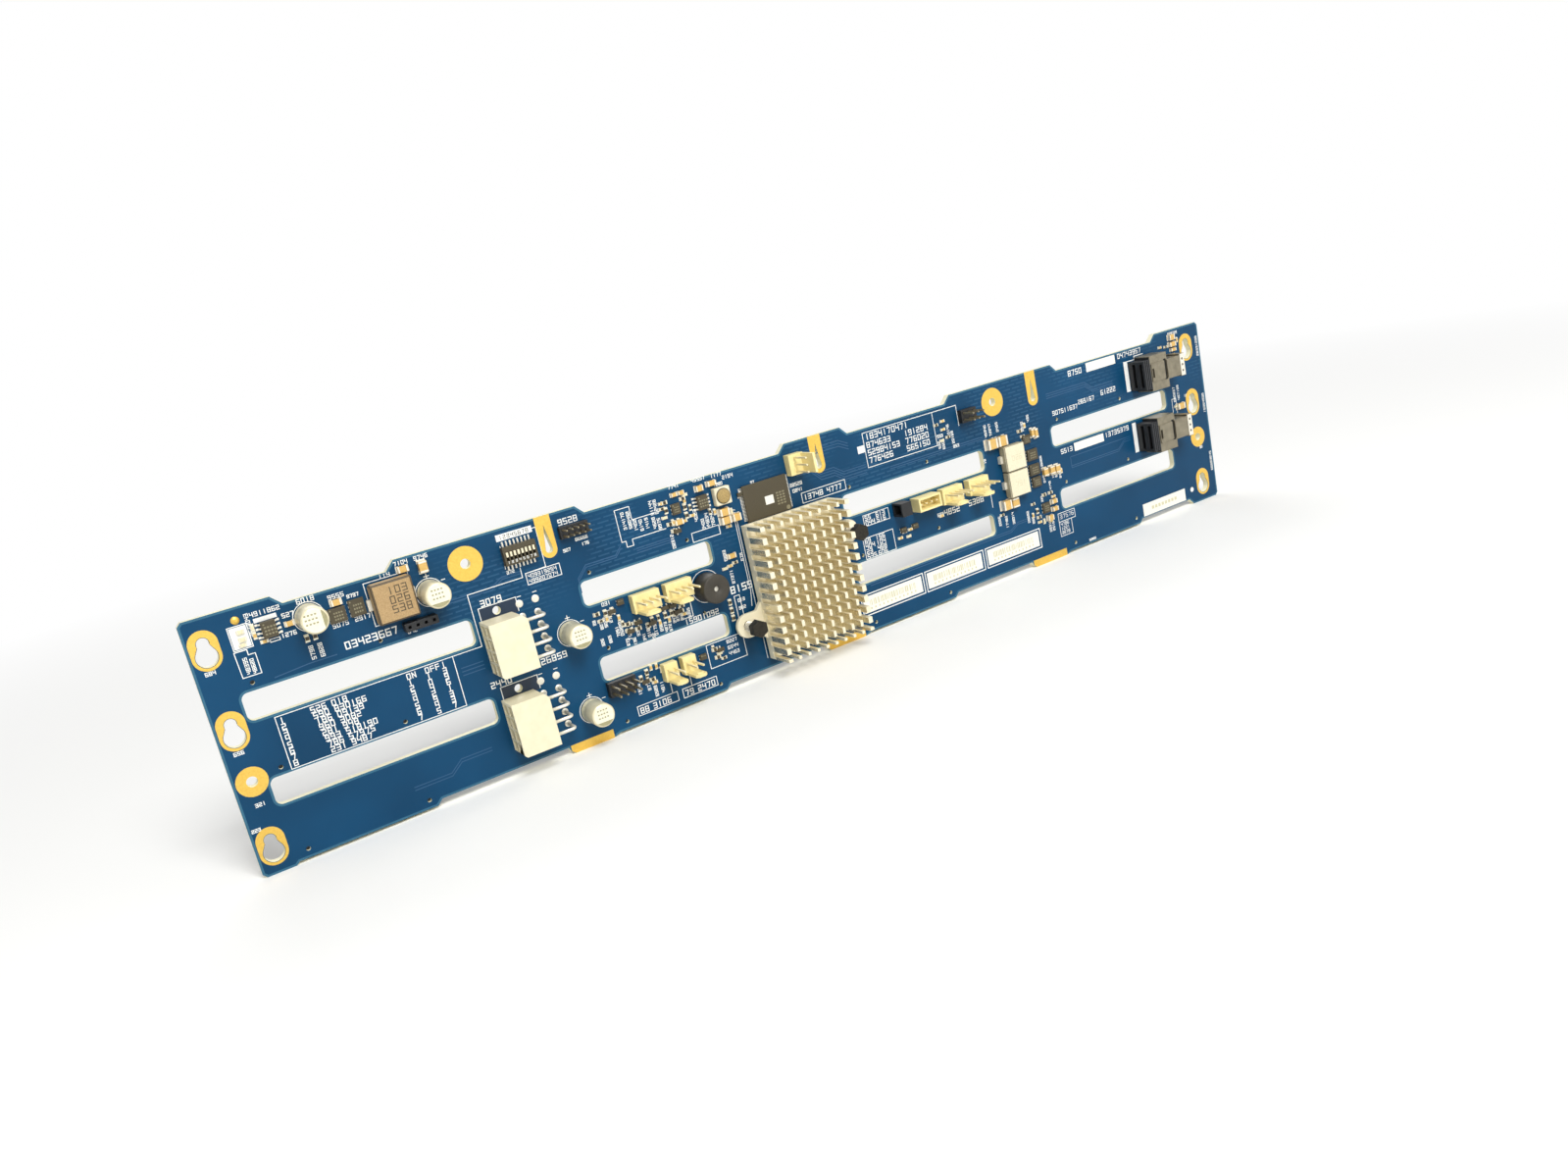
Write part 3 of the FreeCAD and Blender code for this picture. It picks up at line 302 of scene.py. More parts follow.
# ---- pieces
def put_in_place(name, mesh, finishes, body, replaces):
    """Makes a scene object of a mesh, on its body, in place of the solids that it stands for."""
    bmesh.ops.recalc_face_normals(mesh, faces=mesh.faces[:])
    data = bpy.data.meshes.new(name)
    mesh.to_mesh(data)
    mesh.free()
    for finish in finishes:
        data.materials.append(FINISH[finish])
    piece = bpy.data.objects.new(name, data)
    bpy.context.scene.collection.objects.link(piece)
    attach(piece, body)
    if replaces:
        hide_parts(*replaces)
    return piece


def break_edges(mesh, edges, width):
    bmesh.ops.bevel(mesh, geom=edges, offset=width * MM, segments=2, profile=0.5,
                    affect="EDGES", clamp_overlap=True)


def join_rings(mesh, rings, number):
    """Smooth walls between rings of corners, where a ring may be a single point."""
    for near, far in zip(rings, rings[1:]):
        for i in range(max(len(near), len(far))):
            j = i + 1
            corners = [near[i % len(near)], near[j % len(near)], far[j % len(far)], far[i % len(far)]]
            wall = mesh.faces.new(list(dict.fromkeys(corners)))
            wall.material_index = number
            wall.smooth = True


class Piece:
    """One visible piece of the scene, gathered in millimetres and then put on its body."""

    def __init__(self, name, slot):
        self.name = name
        self.slot = slot
        self.mesh = bmesh.new()
        self.finishes = []

    def finish_number(self, finish):
        if finish not in self.finishes:
            self.finishes.append(finish)
        return self.finishes.index(finish)

    def face(self, corners, finish):
        made = self.mesh.faces.new([self.mesh.verts.new(corner) for corner in corners])
        made.material_index = self.finish_number(finish)
        return made

    def flat(self, outline, low, high, finish, holes=()):
        """A plate between two heights, with its holes cut through."""
        loops = [outline] + list(holes)
        floor = [[self.mesh.verts.new(spot(a, d, low)) for a, d in loop] for loop in loops]
        roof = [[self.mesh.verts.new(spot(a, d, high)) for a, d in loop] for loop in loops]
        number = self.finish_number(finish)
        flat_roof = [v for loop in roof for v in loop]
        flat_floor = [v for loop in floor for v in loop]
        for i, j, k in tessellate_polygon([[Vector((a, d, 0)) for a, d in loop] for loop in loops]):
            for verts in ((flat_roof[i], flat_roof[j], flat_roof[k]),
                          (flat_floor[k], flat_floor[j], flat_floor[i])):
                self.mesh.faces.new(verts).material_index = number
        for below, above in zip(floor, roof):
            for i in range(len(below)):
                j = (i + 1) % len(below)
                wall = self.mesh.faces.new((below[i], below[j], above[j], above[i]))
                wall.material_index = number

    def brick(self, across, down, low, width, height, rise, finish, edge=0.08):
        """A moulded block centred on a place, with all its edges broken unless edge is zero."""
        made = bmesh.ops.create_cube(self.mesh, size=1.0)
        centre = spot(across, down, low + rise / 2.0)
        for vert in made["verts"]:
            vert.co = centre + Vector((vert.co.x * width, vert.co.y * rise, vert.co.z * height)) * MM
        number = self.finish_number(finish)
        for face in dict.fromkeys(face for vert in made["verts"] for face in vert.link_faces):
            face.material_index = number
        if edge:
            edges = dict.fromkeys(e for vert in made["verts"] for e in vert.link_edges)
            break_edges(self.mesh, list(edges), edge)

    def patch(self, left, top, right, bottom, out, finish):
        """A flat mark at one height."""
        self.face([spot(a, d, out) for a, d in oblong(left, top, right, bottom)], finish)

    def spun(self, across, down, profile, finish, sides=32):
        """A turned shape from (radius, out) points, open where the radius is not zero."""
        rings = []
        for radius, out in profile:
            ring = []
            count = 1 if radius == 0 else sides
            for i in range(count):
                turn = 2.0 * math.pi * i / sides
                ring.append(self.mesh.verts.new(
                    spot(across + radius * math.cos(turn), down + radius * math.sin(turn), out)))
            rings.append(ring)
        join_rings(self.mesh, rings, self.finish_number(finish))

    def rod(self, path, radius, finish, sides=10):
        """A round wire through the given places."""
        number = self.finish_number(finish)
        points = [spot(*place) for place in path]
        rings = []
        for i, point in enumerate(points):
            ahead = points[min(i + 1, len(points) - 1)] - points[max(i - 1, 0)]
            turn = ahead.to_track_quat("Z", "Y")
            ring = []
            for k in range(sides):
                angle = 2.0 * math.pi * k / sides
                offset = Vector((math.cos(angle), math.sin(angle), 0)) * radius * MM
                ring.append(self.mesh.verts.new(point + turn @ offset))
            rings.append(ring)
        join_rings(self.mesh, rings, number)
        for end in (rings[0][::-1], rings[-1]):
            self.mesh.faces.new(end).material_index = number

    def done(self, body="board", replaces=()):
        return put_in_place(self.name, self.mesh, self.finishes, body, replaces)


def finish_node(node, finish):
    """Gives a solid its material, with its shape as it is."""
    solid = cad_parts[node]
    solid.data.materials.clear()
    solid.data.materials.append(FINISH[finish])


SHARP = 0.6


def softened(node, finish, edge, body="board", choose=None, reshape=None):
    """A copy of a solid with its sharp edges broken, which stands for the solid.

    choose picks another finish by place, and reshape changes the copy before its edges break.
    """
    mesh = bmesh.new()
    mesh.from_mesh(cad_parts[node].data)
    bmesh.ops.remove_doubles(mesh, verts=mesh.verts[:], dist=HAIR)
    bmesh.ops.dissolve_limit(mesh, angle_limit=math.radians(1.0), verts=mesh.verts[:],
                             edges=mesh.edges[:])
    if reshape:
        reshape(mesh)
    sharp = [e for e in mesh.edges if len(e.link_faces) == 2 and e.calc_face_angle(0) > SHARP]
    break_edges(mesh, sharp, edge)
    finishes = [finish]
    for face in mesh.faces:
        face.material_index = 0
        if choose:
            centre = face.calc_center_median()
            other = choose((centre.x - LEFT) / MM, (TOP - centre.z) / MM)
            if other:
                if other not in finishes:
                    finishes.append(other)
                face.material_index = finishes.index(other)
    return put_in_place(node + "_softened", mesh, finishes, body, [node])


# ---- board finish
finish_node("circuit_board", "mask")


def arc(across, down, radius, start, end, steps=16):
    """Places along an arc; angles are degrees, clockwise from the right."""
    places = []
    for i in range(steps + 1):
        turn = math.radians(start + (end - start) * i / steps)
        places.append((across + radius * math.cos(turn), down + radius * math.sin(turn)))
    return places


def ring_hole(across, down, radius, steps=28):
    return arc(across, down, radius, 0, 360, steps)[:-1]


PLATING = 0.045
SCREW_HOLE = 1.6
KEYHOLE_NECK, KEYHOLE_MOUTH, KEYHOLE_DROP = 1.7, 3.0, 4.0
KEYHOLE_ACROSS = (4.9, BOARD_LENGTH - 8.8)
KEYHOLE_DOWN = (7.5, 32.0, 68.4)
# How far a keyhole's land reaches above and below the neck, and half its width.
KEYHOLE_LAND = (3.9, 8.0, 4.05)
SIDE_HOLE_SHIFT, SIDE_HOLE_DOWN, SIDE_LAND = 0.5, 50.05, 4.5
TOP_HOLES, TOP_HOLE_DOWN, TOP_LAND = (82.1, 301.3), 7.6, 5.55
TEAR_SHIFT, TEAR_DOWN, TEAR_HOLE, TEAR_TIP, TEAR_LAND = -29.6, 11.1, 1.25, 2.9, 2.7
# Tabs on the lower edge: their widths, and how far the right side stands before a column.
TAB_WIDTHS, TAB_SHIFT, TAB_HEIGHT = (15.8, 17.7, 19.1), -24.3, 3.0
# Lands stop this far short of the board's edge.
EDGE_GAP = 0.02


def keyhole_edge(across, down, grow=0.0):
    places = arc(across, down, KEYHOLE_NECK + grow, 160, 380, 14)
    places += arc(across, down + KEYHOLE_DROP, KEYHOLE_MOUTH + grow, -22, 202, 20)
    return places


def stadium(across, top, bottom, radius):
    places = arc(across, top + radius, radius, 180, 360, 16)
    places += arc(across, bottom - radius, radius, 0, 180, 16)
    return places


lands = Piece("gold_lands", "gold")


def land(low, outline, *holes):
    lands.flat(outline, low, low + PLATING, "gold", holes)


for low in (0.0, -BOARD_THICKNESS - PLATING):
    for across in KEYHOLE_ACROSS:
        for down in KEYHOLE_DOWN:
            above, below, half = KEYHOLE_LAND
            land(low, stadium(across, down - above, down + below, half), keyhole_edge(across, down, 0.15))
        side = across + SIDE_HOLE_SHIFT
        land(low, ring_hole(side, SIDE_HOLE_DOWN, SIDE_LAND),
             ring_hole(side, SIDE_HOLE_DOWN, SCREW_HOLE))
    for across in TOP_HOLES:
        land(low, ring_hole(across, TOP_HOLE_DOWN, TOP_LAND, 40),
             ring_hole(across, TOP_HOLE_DOWN, SCREW_HOLE))
    for column in (1, 2, 3):
        across = FIRST_COLUMN + column * COLUMN_PITCH + TEAR_SHIFT
        drop = arc(across, TEAR_DOWN, TEAR_HOLE, -5, 185, 12) + [(across, TEAR_TIP)]
        upper = [(across - TEAR_LAND, EDGE_GAP), (across + TEAR_LAND, EDGE_GAP)]
        land(low, upper + arc(across, TEAR_DOWN + 0.1, TEAR_LAND, 0, 180, 14), drop)
    for column, width in enumerate(TAB_WIDTHS):
        right = FIRST_COLUMN + (column + 1) * COLUMN_PITCH + TAB_SHIFT
        left = right - width
        top, floor = BOARD_HEIGHT - TAB_HEIGHT, BOARD_HEIGHT - EDGE_GAP
        land(low, [(left + 0.2, top), (right, top), (right, floor), (left + 1.5, floor),
                   (left + 0.2, BOARD_HEIGHT - 1.0)])
lands.spun(14.7, 3.8, [(0, PLATING), (1.2, PLATING), (1.2, 0)], "gold", 24)
lands.done()

# White ink: how far it stands out, how far crossing strokes lie apart, and the pen's width.
INK = 0.03
LAYER = 0.002
STROKE = 0.26


class Print(Piece):
    """White print, drawn with a pen of one width."""

    strokes = 0

    def line(self, *places, pen=STROKE, finish="ink", rise=INK):
        for (a, d), (e, f) in zip(places, places[1:]):
            # Strokes that cross lie a hair apart, so that no two faces share a plane.
            self.strokes += 1
            level = rise + LAYER * (self.strokes % 7)
            along = Vector((e - a, f - d))
            if along.length < 0.001:
                continue
            along.normalize()
            side = Vector((-along.y, along.x)) * pen / 2.0
            tail = along * pen / 2.0
            corners = [
                (a - tail.x + side.x, d - tail.y + side.y), (e + tail.x + side.x, f + tail.y + side.y),
                (e + tail.x - side.x, f + tail.y - side.y), (a - tail.x - side.x, d - tail.y - side.y),
            ]
            self.face([spot(x, y, level) for x, y in corners], finish)

    def frame(self, left, top, right, bottom, pen=STROKE):
        self.line((left, top), (right, top), (right, bottom), (left, bottom), (left, top), pen=pen)

    def block(self, left, top, right, bottom):
        self.patch(left, top, right, bottom, INK, "ink")

    def digits(self, across, down, text, size=1.5, turned=False, pen=0.2, finish="ink", rise=INK):
        """Plain numbers in straight strokes, from their top left corner."""
        wide = size * 0.62
        step = size * 1.02
        for letter in text:
            for start, end in STROKES.get(letter, ()):
                ends = []
                for x, y in (GRID[start], GRID[end]):
                    if turned:
                        ends.append((across + y * size, down - x * wide))
                    else:
                        ends.append((across + x * wide, down + y * size))
                self.line(*ends, pen=pen, finish=finish, rise=rise)
            if turned:
                down -= step
            else:
                across += step

    def cross(self, across, down, size=1.3):
        self.line((across - size / 2, down), (across + size / 2, down))
        self.line((across, down - size / 2), (across, down + size / 2))


# Seven places on a small grid, and the strokes between them that make each digit.
GRID = {"a": (0, 0), "b": (1, 0), "c": (0, 0.5), "d": (1, 0.5), "e": (0, 1), "f": (1, 1),
        "g": (0.5, 0), "h": (0.5, 1)}
STROKES = {
    "0": ("ab", "bf", "fe", "ea"), "1": ("gh",), "2": ("ab", "bd", "dc", "ce", "ef"),
    "3": ("ab", "bf", "fe", "cd"), "4": ("ac", "cd", "bf"), "5": ("ba", "ac", "cd", "df", "fe"),
    "6": ("ba", "ae", "ef", "fd", "dc"), "7": ("ab", "bh"), "8": ("ab", "bf", "fe", "ea", "cd"),
    "9": ("dc", "ca", "ab", "bf", "fe"), "O": ("ab", "bf", "fe", "ea"), "N": ("ea", "af", "fb"),
    "F": ("ba", "ae", "cd"),
}

chance = random.Random(7)


def some_digits(length):
    return "".join(chance.choice("0123456789") for _ in range(length))


# ---- mask rim
def face_loops(node):
    """The outlines of a plate's component face, each with the plate on its left."""
    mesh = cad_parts[node].data
    edges = {}
    for polygon in mesh.polygons:
        if polygon.normal.y > -0.9:
            continue
        corners = [tuple(round(c, 6) for c in mesh.vertices[v].co) for v in polygon.vertices]
        if abs(corners[0][1] - FACE) > 0.05 * MM:
            continue
        for start, end in zip(corners, corners[1:] + corners[:1]):
            if (end, start) in edges:
                del edges[(end, start)]
            else:
                edges[(start, end)] = True
    ahead = {start: end for start, end in edges}
    loops = []
    while ahead:
        start, place = ahead.popitem()
        loop = [start]
        while place != start:
            loop.append(place)
            place = ahead.pop(place)
        loops.append([((x - LEFT) / MM, (TOP - z) / MM) for x, _, z in loop])
    return loops


# The rim goes round the board and its windows, and leaves out shorter outlines.
RIM_WIDTH, RIM_RISE, RIM_FROM_LENGTH = 0.75, 0.012, 60
rim = Piece("mask_rim", "board")
for loop in face_loops("circuit_board"):
    if sum(math.dist(a, b) for a, b in zip(loop, loop[1:] + loop[:1])) < RIM_FROM_LENGTH:
        continue
    inner = []
    for before, here, after in zip(loop[-1:] + loop[:-1], loop, loop[1:] + loop[:1]):
        along = (Vector(here) - Vector(before)).normalized() + (Vector(after) - Vector(here)).normalized()
        along.normalize()
        # The plate lies on the left of travel when seen with down as the second axis.
        inner.append((here[0] + along.y * RIM_WIDTH, here[1] - along.x * RIM_WIDTH))
    for i in range(len(loop)):
        k = (i + 1) % len(loop)
        rim.face([spot(*loop[i], RIM_RISE), spot(*loop[k], RIM_RISE),
                  spot(*inner[k], RIM_RISE), spot(*inner[i], RIM_RISE)], "rim")
rim.done()

# ---- tracks
tracks = Print("covered_tracks", "board")
TRACK_RISE = 0.018

# Tracks side by side that follow one path of straight runs: the path, how many, how far apart.
for places, count, apart in (
    (((116.4, 27.6), (116.4, 23.6), (120, 20), (131, 20), (133.4, 17.6)), 2, 0.8),
    (((206, 11), (212, 11), (216, 15), (222, 15), (226, 17.6), (236, 17.6)), 4, 1.0),
    (((212, 5.5), (226, 5.5), (230, 7.5)), 3, 1.1),
    (((139, 20.4), (151, 20.4), (153.4, 22.8)), 3, 0.8),
    (((20, 23), (30, 22.2), (38, 22.2)), 1, 0.8),
    (((70, 17.6), (88, 17.6), (92, 15.4), (98, 15.4)), 2, 0.8),
    (((72, 40), (79, 40)), 3, 1.2),
    (((48, 70.2), (60, 70.2), (64, 67), (74, 67)), 2, 1.0),
    (((247, 20.2), (292, 20.2), (296, 22)), 2, 0.8),
    (((330, 12), (352, 12), (356, 15), (368, 15)), 3, 0.9),
    (((338, 39.4), (374, 39.4)), 1, 0.8),
    (((338, 43.6), (366, 43.6), (370, 40.6), (374, 40.6)), 2, 0.8),
    (((338, 39.4), (338, 44)), 1, 0.8),
    (((228, 60.6), (300, 60.6), (304, 58.4), (322, 58.4)), 2, 0.8),
):
    for number in range(count):
        shift = (number - (count - 1) / 2.0) * apart
        tracks.line(*[(a, d + shift) for a, d in places], pen=0.32, finish="track", rise=TRACK_RISE)
# Windows in the copper round the pegs of the power headers.
for drop in (0.0, ROW_PITCH):
    tracks.flat(oblong(82.2, 22.7 + drop, 94.3, 27.4 + drop), 0.0, RIM_RISE, "dark_mask",
                [ring_hole(87.6, 24.7 + drop, 1.37)])
tracks.done()

# ---- white print
ink = Print("white_print", "board")


def figures(across, down, length, size, pen=0.2, turned=False):
    """A plain number of some digits."""
    ink.digits(across, down, some_digits(length), size, turned=turned, pen=pen)


# The switch table: number, purpose and the two states of each slider.
ink.line((16.5, 50.6), (16.5, 34.2), (80, 34.2), (80, 17.2), (98.5, 17.2), (98.5, 14))
ink.line((16.5, 50.6), (70.3, 50.6), (70.3, 34.2))
for row in range(8):
    down = 34.9 + row * 1.92
    ink.digits(17.6, down, str(row + 1), 1.6, pen=0.3)
    figures(26.4 + 0.3 * row, down, 3, 1.6, 0.3)
    figures(32.6 + 0.3 * row, down, 3 + (row * 3) % 4, 1.6, 0.3)
    ink.digits(55.4, down, "ON" if row == 0 else str(row), 1.6, pen=0.3)
    ink.digits(61.2, down, "OFF" if row == 0 else some_digits(1), 1.6, pen=0.3)
    figures(66.4, down, 1, 1.6, 0.3)

# Plain numbers beside the parts: across, down to their top, how many, size.
for across, down, length, size in (
    (18.8, 3, 7, 1.2), (26.9, 5.9, 3, 1.2), (31.8, 3.2, 4, 1.3), (40.4, 4.8, 4, 1.2),
    (45.6, 6.2, 4, 0.9), (56, 3.2, 3, 1.2), (61.2, 0.9, 4, 1.1), (67.4, 0.9, 4, 1.1),
    (39.4, 13.3, 4, 1.2), (46, 13.3, 4, 1.2), (41.1, 19.6, 8, 2), (25.2, 11.5, 4, 1.1),
    (59.6, 22, 3, 1), (3, 15.7, 3, 1), (3.2, 40.3, 3, 1), (4.2, 56.8, 3, 1), (1, 63.9, 3, 0.9),
    (83.3, 20.3, 4, 1.8), (79.4, 46.6, 4, 1.8), (97.2, 44.7, 5, 1.85), (114.6, 2.9, 4, 1.75),
    (113.9, 12.6, 3, 0.9), (118.8, 10.2, 5, 0.9), (120.6, 12.2, 3, 0.9), (122, 33.6, 3, 1.1),
    (94, 13.8, 3, 0.9), (149.9, 48.9, 8, 1.7), (169.8, 43.3, 4, 2.3), (171.6, 48.2, 3, 1),
    (171.4, 51, 3, 1), (164.3, 2.6, 5, 1.1), (172, 3, 4, 1.1), (155.2, 2.6, 4, 1.1),
    (176.3, 4.6, 4, 1.1), (172.4, 6.4, 4, 0.9), (202.2, 14.6, 5, 1.1), (203, 16.8, 4, 1.1),
    (268.4, 43, 4, 2), (281, 42.6, 4, 2), (278.4, 19.4, 3, 1), (271.4, 13.8, 3, 1),
    (264.8, 43.4, 3, 1.1), (343.8, 4.7, 4, 2), (373.2, 3.9, 8, 1.8), (333.4, 35.2, 4, 1.7),
    (359.6, 34.6, 8, 1.8), (332, 18.8, 9, 1.6), (347, 17.6, 6, 1.6), (360.6, 16.6, 5, 1.8),
    (405.2, 1.4, 6, 1), (186.8, 9.4, 2, 0.8), (341.6, 76.2, 5, 0.8), (416.4, 54.6, 2, 0.9),
    (410.6, 29.8, 2, 0.9),
):
    figures(across, down, length, size, max(0.24, size * 0.19))

# Numbers that read up the board, as narrow columns: across, down to their foot, how many, size.
for across, down, length, size in (
    (17.3, 9.6, 7, 1), (13.4, 19.6, 5, 1), (15.1, 19.9, 5, 0.9), (31.2, 21.4, 4, 1.1),
    (33.8, 21.4, 4, 1.1), (117.4, 39.9, 2, 0.9), (119.6, 42, 4, 0.9), (121.2, 41.8, 4, 0.9),
    (123.2, 40.8, 5, 0.9), (126, 46.4, 5, 1), (128.4, 48.8, 4, 1), (131.6, 48.4, 3, 1),
    (135.4, 50, 5, 1), (138, 50.3, 5, 1), (140.2, 49.6, 3, 1), (145.6, 48.4, 4, 0.9),
    (147, 48.2, 4, 0.9), (148.6, 48.4, 4, 0.9), (124.6, 46.2, 4, 0.9), (127.2, 50.4, 3, 0.9),
    (129.8, 51, 3, 0.9), (133.4, 51.6, 4, 0.9), (136.8, 51.8, 3, 0.9), (142, 50.4, 4, 0.9),
    (143.6, 51.6, 4, 0.9), (118.6, 47.6, 3, 0.9), (121.4, 47.4, 3, 0.9), (151.6, 48.4, 4, 0.9),
    (127, 68.2, 4, 1), (130.6, 67.8, 4, 1), (132.8, 70.8, 4, 1), (135.4, 70.2, 4, 1),
    (147, 10.4, 5, 1), (148.6, 10.4, 5, 1), (146.8, 15, 4, 1), (148.6, 15.8, 4, 1),
    (140, 13.8, 4, 1), (142, 14.4, 4, 1), (144.2, 14.4, 4, 1), (136.2, 12.4, 6, 1),
    (138.2, 12.6, 6, 1), (152, 23.6, 5, 1), (162.4, 17, 4, 1.1), (166.4, 20.6, 5, 1.1),
    (168.4, 20.4, 5, 1.1), (164.6, 20.6, 4, 1), (170, 33.6, 4, 1), (171, 42.2, 5, 1),
    (176.4, 35.4, 3, 1), (176.6, 14, 5, 0.9), (271.2, 19, 3, 1), (273.2, 19.6, 4, 1),
    (276.6, 14.6, 4, 1), (278.2, 18.6, 5, 1), (294.8, 20.4, 5, 1), (297.2, 20.4, 5, 1),
    (301, 19.6, 4, 1), (314, 22.6, 4, 1), (317.6, 19.6, 3, 1), (294.4, 56.8, 4, 1),
    (298, 58.6, 5, 1), (301.6, 58, 5, 1), (321.2, 40, 6, 0.9), (321.4, 46, 4, 0.9),
    (326.4, 45.4, 4, 0.9), (328.2, 45.4, 4, 0.9), (330.4, 46.4, 4, 0.9), (309.6, 59.8, 5, 1),
    (312, 60.8, 3, 1), (320.6, 66.8, 6, 1), (322.4, 66.8, 5, 1), (403.8, 31.4, 6, 1.1),
    (406.4, 31, 6, 1.1), (292, 30.4, 2, 1), (292.4, 42.6, 2, 1), (324, 49.6, 4, 0.9),
    (318.4, 53.4, 3, 0.9), (177.4, 20.4, 4, 0.9),
):
    figures(across, down, length, size, max(0.23, size * 0.2), turned=True)

# Frames round groups, and bold bars at the ends of parts.
ink.frame(11.9, 5.4, 17.2, 12.3)
ink.block(12.2, 5.7, 16.9, 12.0)
ink.line((11.7, 12.7), (15.2, 12.7), (15.2, 14.3), (17.1, 14.3), (17.1, 20.4), (11.9, 20.4), (11.7, 12.7))
ink.block(19.2, 4.9, 25.6, 6.2)
ink.block(28.8, 8.3, 30.2, 9.9)
ink.frame(21.9, 12.0, 24.6, 12.8)
ink.frame(51.0, 4.4, 64.4, 17.8)
ink.block(93.4, 1.9, 105.5, 4.0)
ink.line((105.5, 2.9), (106.8, 2.9), (106.8, 16.1), (99.7, 16.3))
ink.line((94.1, 5.6), (93.9, 13.0))
ink.frame(99.7, 16.3, 111.4, 20.1)
for down in (16.9, 18.6):
    figures(100.4, down, 9, 1.1)
for drop in (0.0, ROW_PITCH):
    ink.line((82.0, 26.8 + drop), (82.0, 22.5 + drop), (94.5, 22.5 + drop), (94.5, 27.0 + drop))
    for across in (95.6, 101.0):
        ink.line((across - 0.6, 22.7 + drop), (across + 0.6, 22.7 + drop))
ink.line((134.3, 5.3), (139.7, 5.3), (139.7, 9.9), (150.2, 9.9))
ink.line((134.3, 5.3), (134.3, 16.2), (135.8, 16.2), (135.8, 18.3), (138.2, 18.3), (138.2, 16.2),
         (151.0, 16.2))
ink.frame(159.9, 20.6, 170.8, 23.8)
ink.line((177.4, 20.6), (177.4, 47.0), (176.6, 52.2))
ink.line((178.2, 21.4), (178.2, 72.6))
ink.frame(206.2, 19.0, 225.6, 22.7)
for across, length in ((207.2, 5), (217.4, 4)):
    figures(across, 20.0, length, 1.7, 0.32)
ink.frame(237.2, 4.6, 270.7, 17.6)
ink.line((270.7, 4.6), (282.8, 4.6), (282.8, 12.6))
ink.block(233.9, 8.9, 237.0, 11.6)
figures(238.6, 5.3, 10, 2.0, 0.34)
for row in range(3):
    figures(238.4, 8.4 + row * 2.9, 6 + row % 2 * 2, 1.9, 0.34)
    figures(256.4, 8.4 + row * 2.9, 6, 1.9, 0.34)
for left, top, right, bottom, rows in ((230.4, 34.4, 242.3, 38.6, 2), (228.4, 42.9, 242.6, 50.9, 4)):
    ink.frame(left, top, right, bottom)
    for row in range(rows):
        figures(left + 0.8, top + 0.4 + row * 2.0, 2 + row % 2, 1.5, 0.28)
        figures(left + 6.0, top + 0.4 + row * 2.0, 3, 1.5, 0.28)
for left, right, leader in ((125.1, 140.7, 139.0), (142.8, 156.5, 146.7)):
    ink.frame(left, 71.9, right, 75.2)
    figures(left + 1.0, 72.8, 2, 1.8, 0.32)
    figures(left + 6.0, 72.8, 4, 1.8, 0.32)
    ink.line((leader, 68.4), (leader, 71.9))
ink.frame(155.4, 60.2, 170.4, 68.8)
for down in (61.0, 63.2, 65.4):
    figures(163.6, down, 4, 1.1)
ink.line((153.4, 42.6), (153.4, 48.3), (149.6, 48.3))
ink.frame(170.4, 46.8, 172.6, 55.0)
ink.frame(326.2, 60.8, 335.6, 64.4)
ink.frame(326.2, 64.4, 333.2, 70.6)
for row in range(3):
    figures(327.0, 65.0 + row * 1.8, 4, 1.2)
figures(327.2, 61.6, 5, 1.6)
ink.line((378.3, 8.1), (382.8, 8.1), (382.8, 6.7), (388.2, 6.7), pen=0.4)
for top, bottom in ((7.9, 20.8), (34.4, 47.3)):
    ink.block(376.0, top, 378.3, bottom)
ink.frame(402.4, 30.0, 405.0, 37.0)
for down in (6.3, 32.0, 58.6):
    figures(BOARD_LENGTH - 2.2, down + 8.4, 8, 1.1, 0.22, turned=True)
for across, top, bottom in ((292.6, 36.3, 48.4), (303.6, 23.2, 26.0)):
    ink.line((across, top), (across, bottom))
ink.spun(407.8, 72.4, [(0, INK), (1.1, INK)], "ink", 24)
ink.spun(160.7, 39.9, [(5.55, INK), (5.8, INK)], "ink", 56)
for can in range(4):
    left, top, _, right, bottom, high = box_of("capacitor_can_%d" % (can + 1))
    radius = (right - left) / 2.0
    across, down = left + radius, top + radius
    ink.spun(across, down, [(radius + 0.25, INK), (radius + 0.5, INK)], "ink", 48)
    if can:
        ink.cross(across + 0.3, down - radius - 1.1, 1.5)
        ink.line((across + radius + 0.4, down - 2.6), (across + radius + 1.5, down - 2.6))
ink.done()

# White paper labels with plain bars, and the bare white panels of the print.
PAPER, PANEL, PAPER_PRINT = 0.12, 0.06, 0.13
labels = Piece("paper_labels", "board")
for left, right in ((222.9, 251.3), (254.3, 282.4), (285.7, 313.7)):
    labels.flat(oblong(left, 64.5, right, 70.8), 0.0, PAPER, "label")
    start = left + 3.0
    while start < right - 3.6:
        wide = chance.choice((0.25, 0.4, 0.6))
        labels.patch(start, 66.0, start + wide, 68.4, PAPER_PRINT, "label_mark")
        start += wide + chance.choice((0.3, 0.45, 0.7))
    for number in range(12):
        start = left + 3.0 + number * (right - left - 7.0) / 11.0
        labels.patch(start, 69.0, start + 0.7, 69.8, PAPER_PRINT, "label_mark")
for panel in ((354.2, 3.6, 371.4, 7.3), (341.0, 34.3, 358.4, 37.7)):
    labels.flat(oblong(*panel), 0.0, PANEL, "label")
labels.flat(oblong(375.7, 70.6, 403.0, 76.0), 0.0, PAPER, "label")
for bar in range(8):
    start = 381.0 + bar * 2.1
    labels.patch(start, 72.6, start + 1.4, 74.0, PAPER_PRINT, "label_mark")
labels.done()
sticker_frames = Print("sticker_frames", "board")
for left, right in ((222.3, 252.3), (253.5, 283.6), (284.9, 314.8)):
    sticker_frames.frame(left, 63.7, right, 71.7, pen=0.4)
sticker_frames.done()

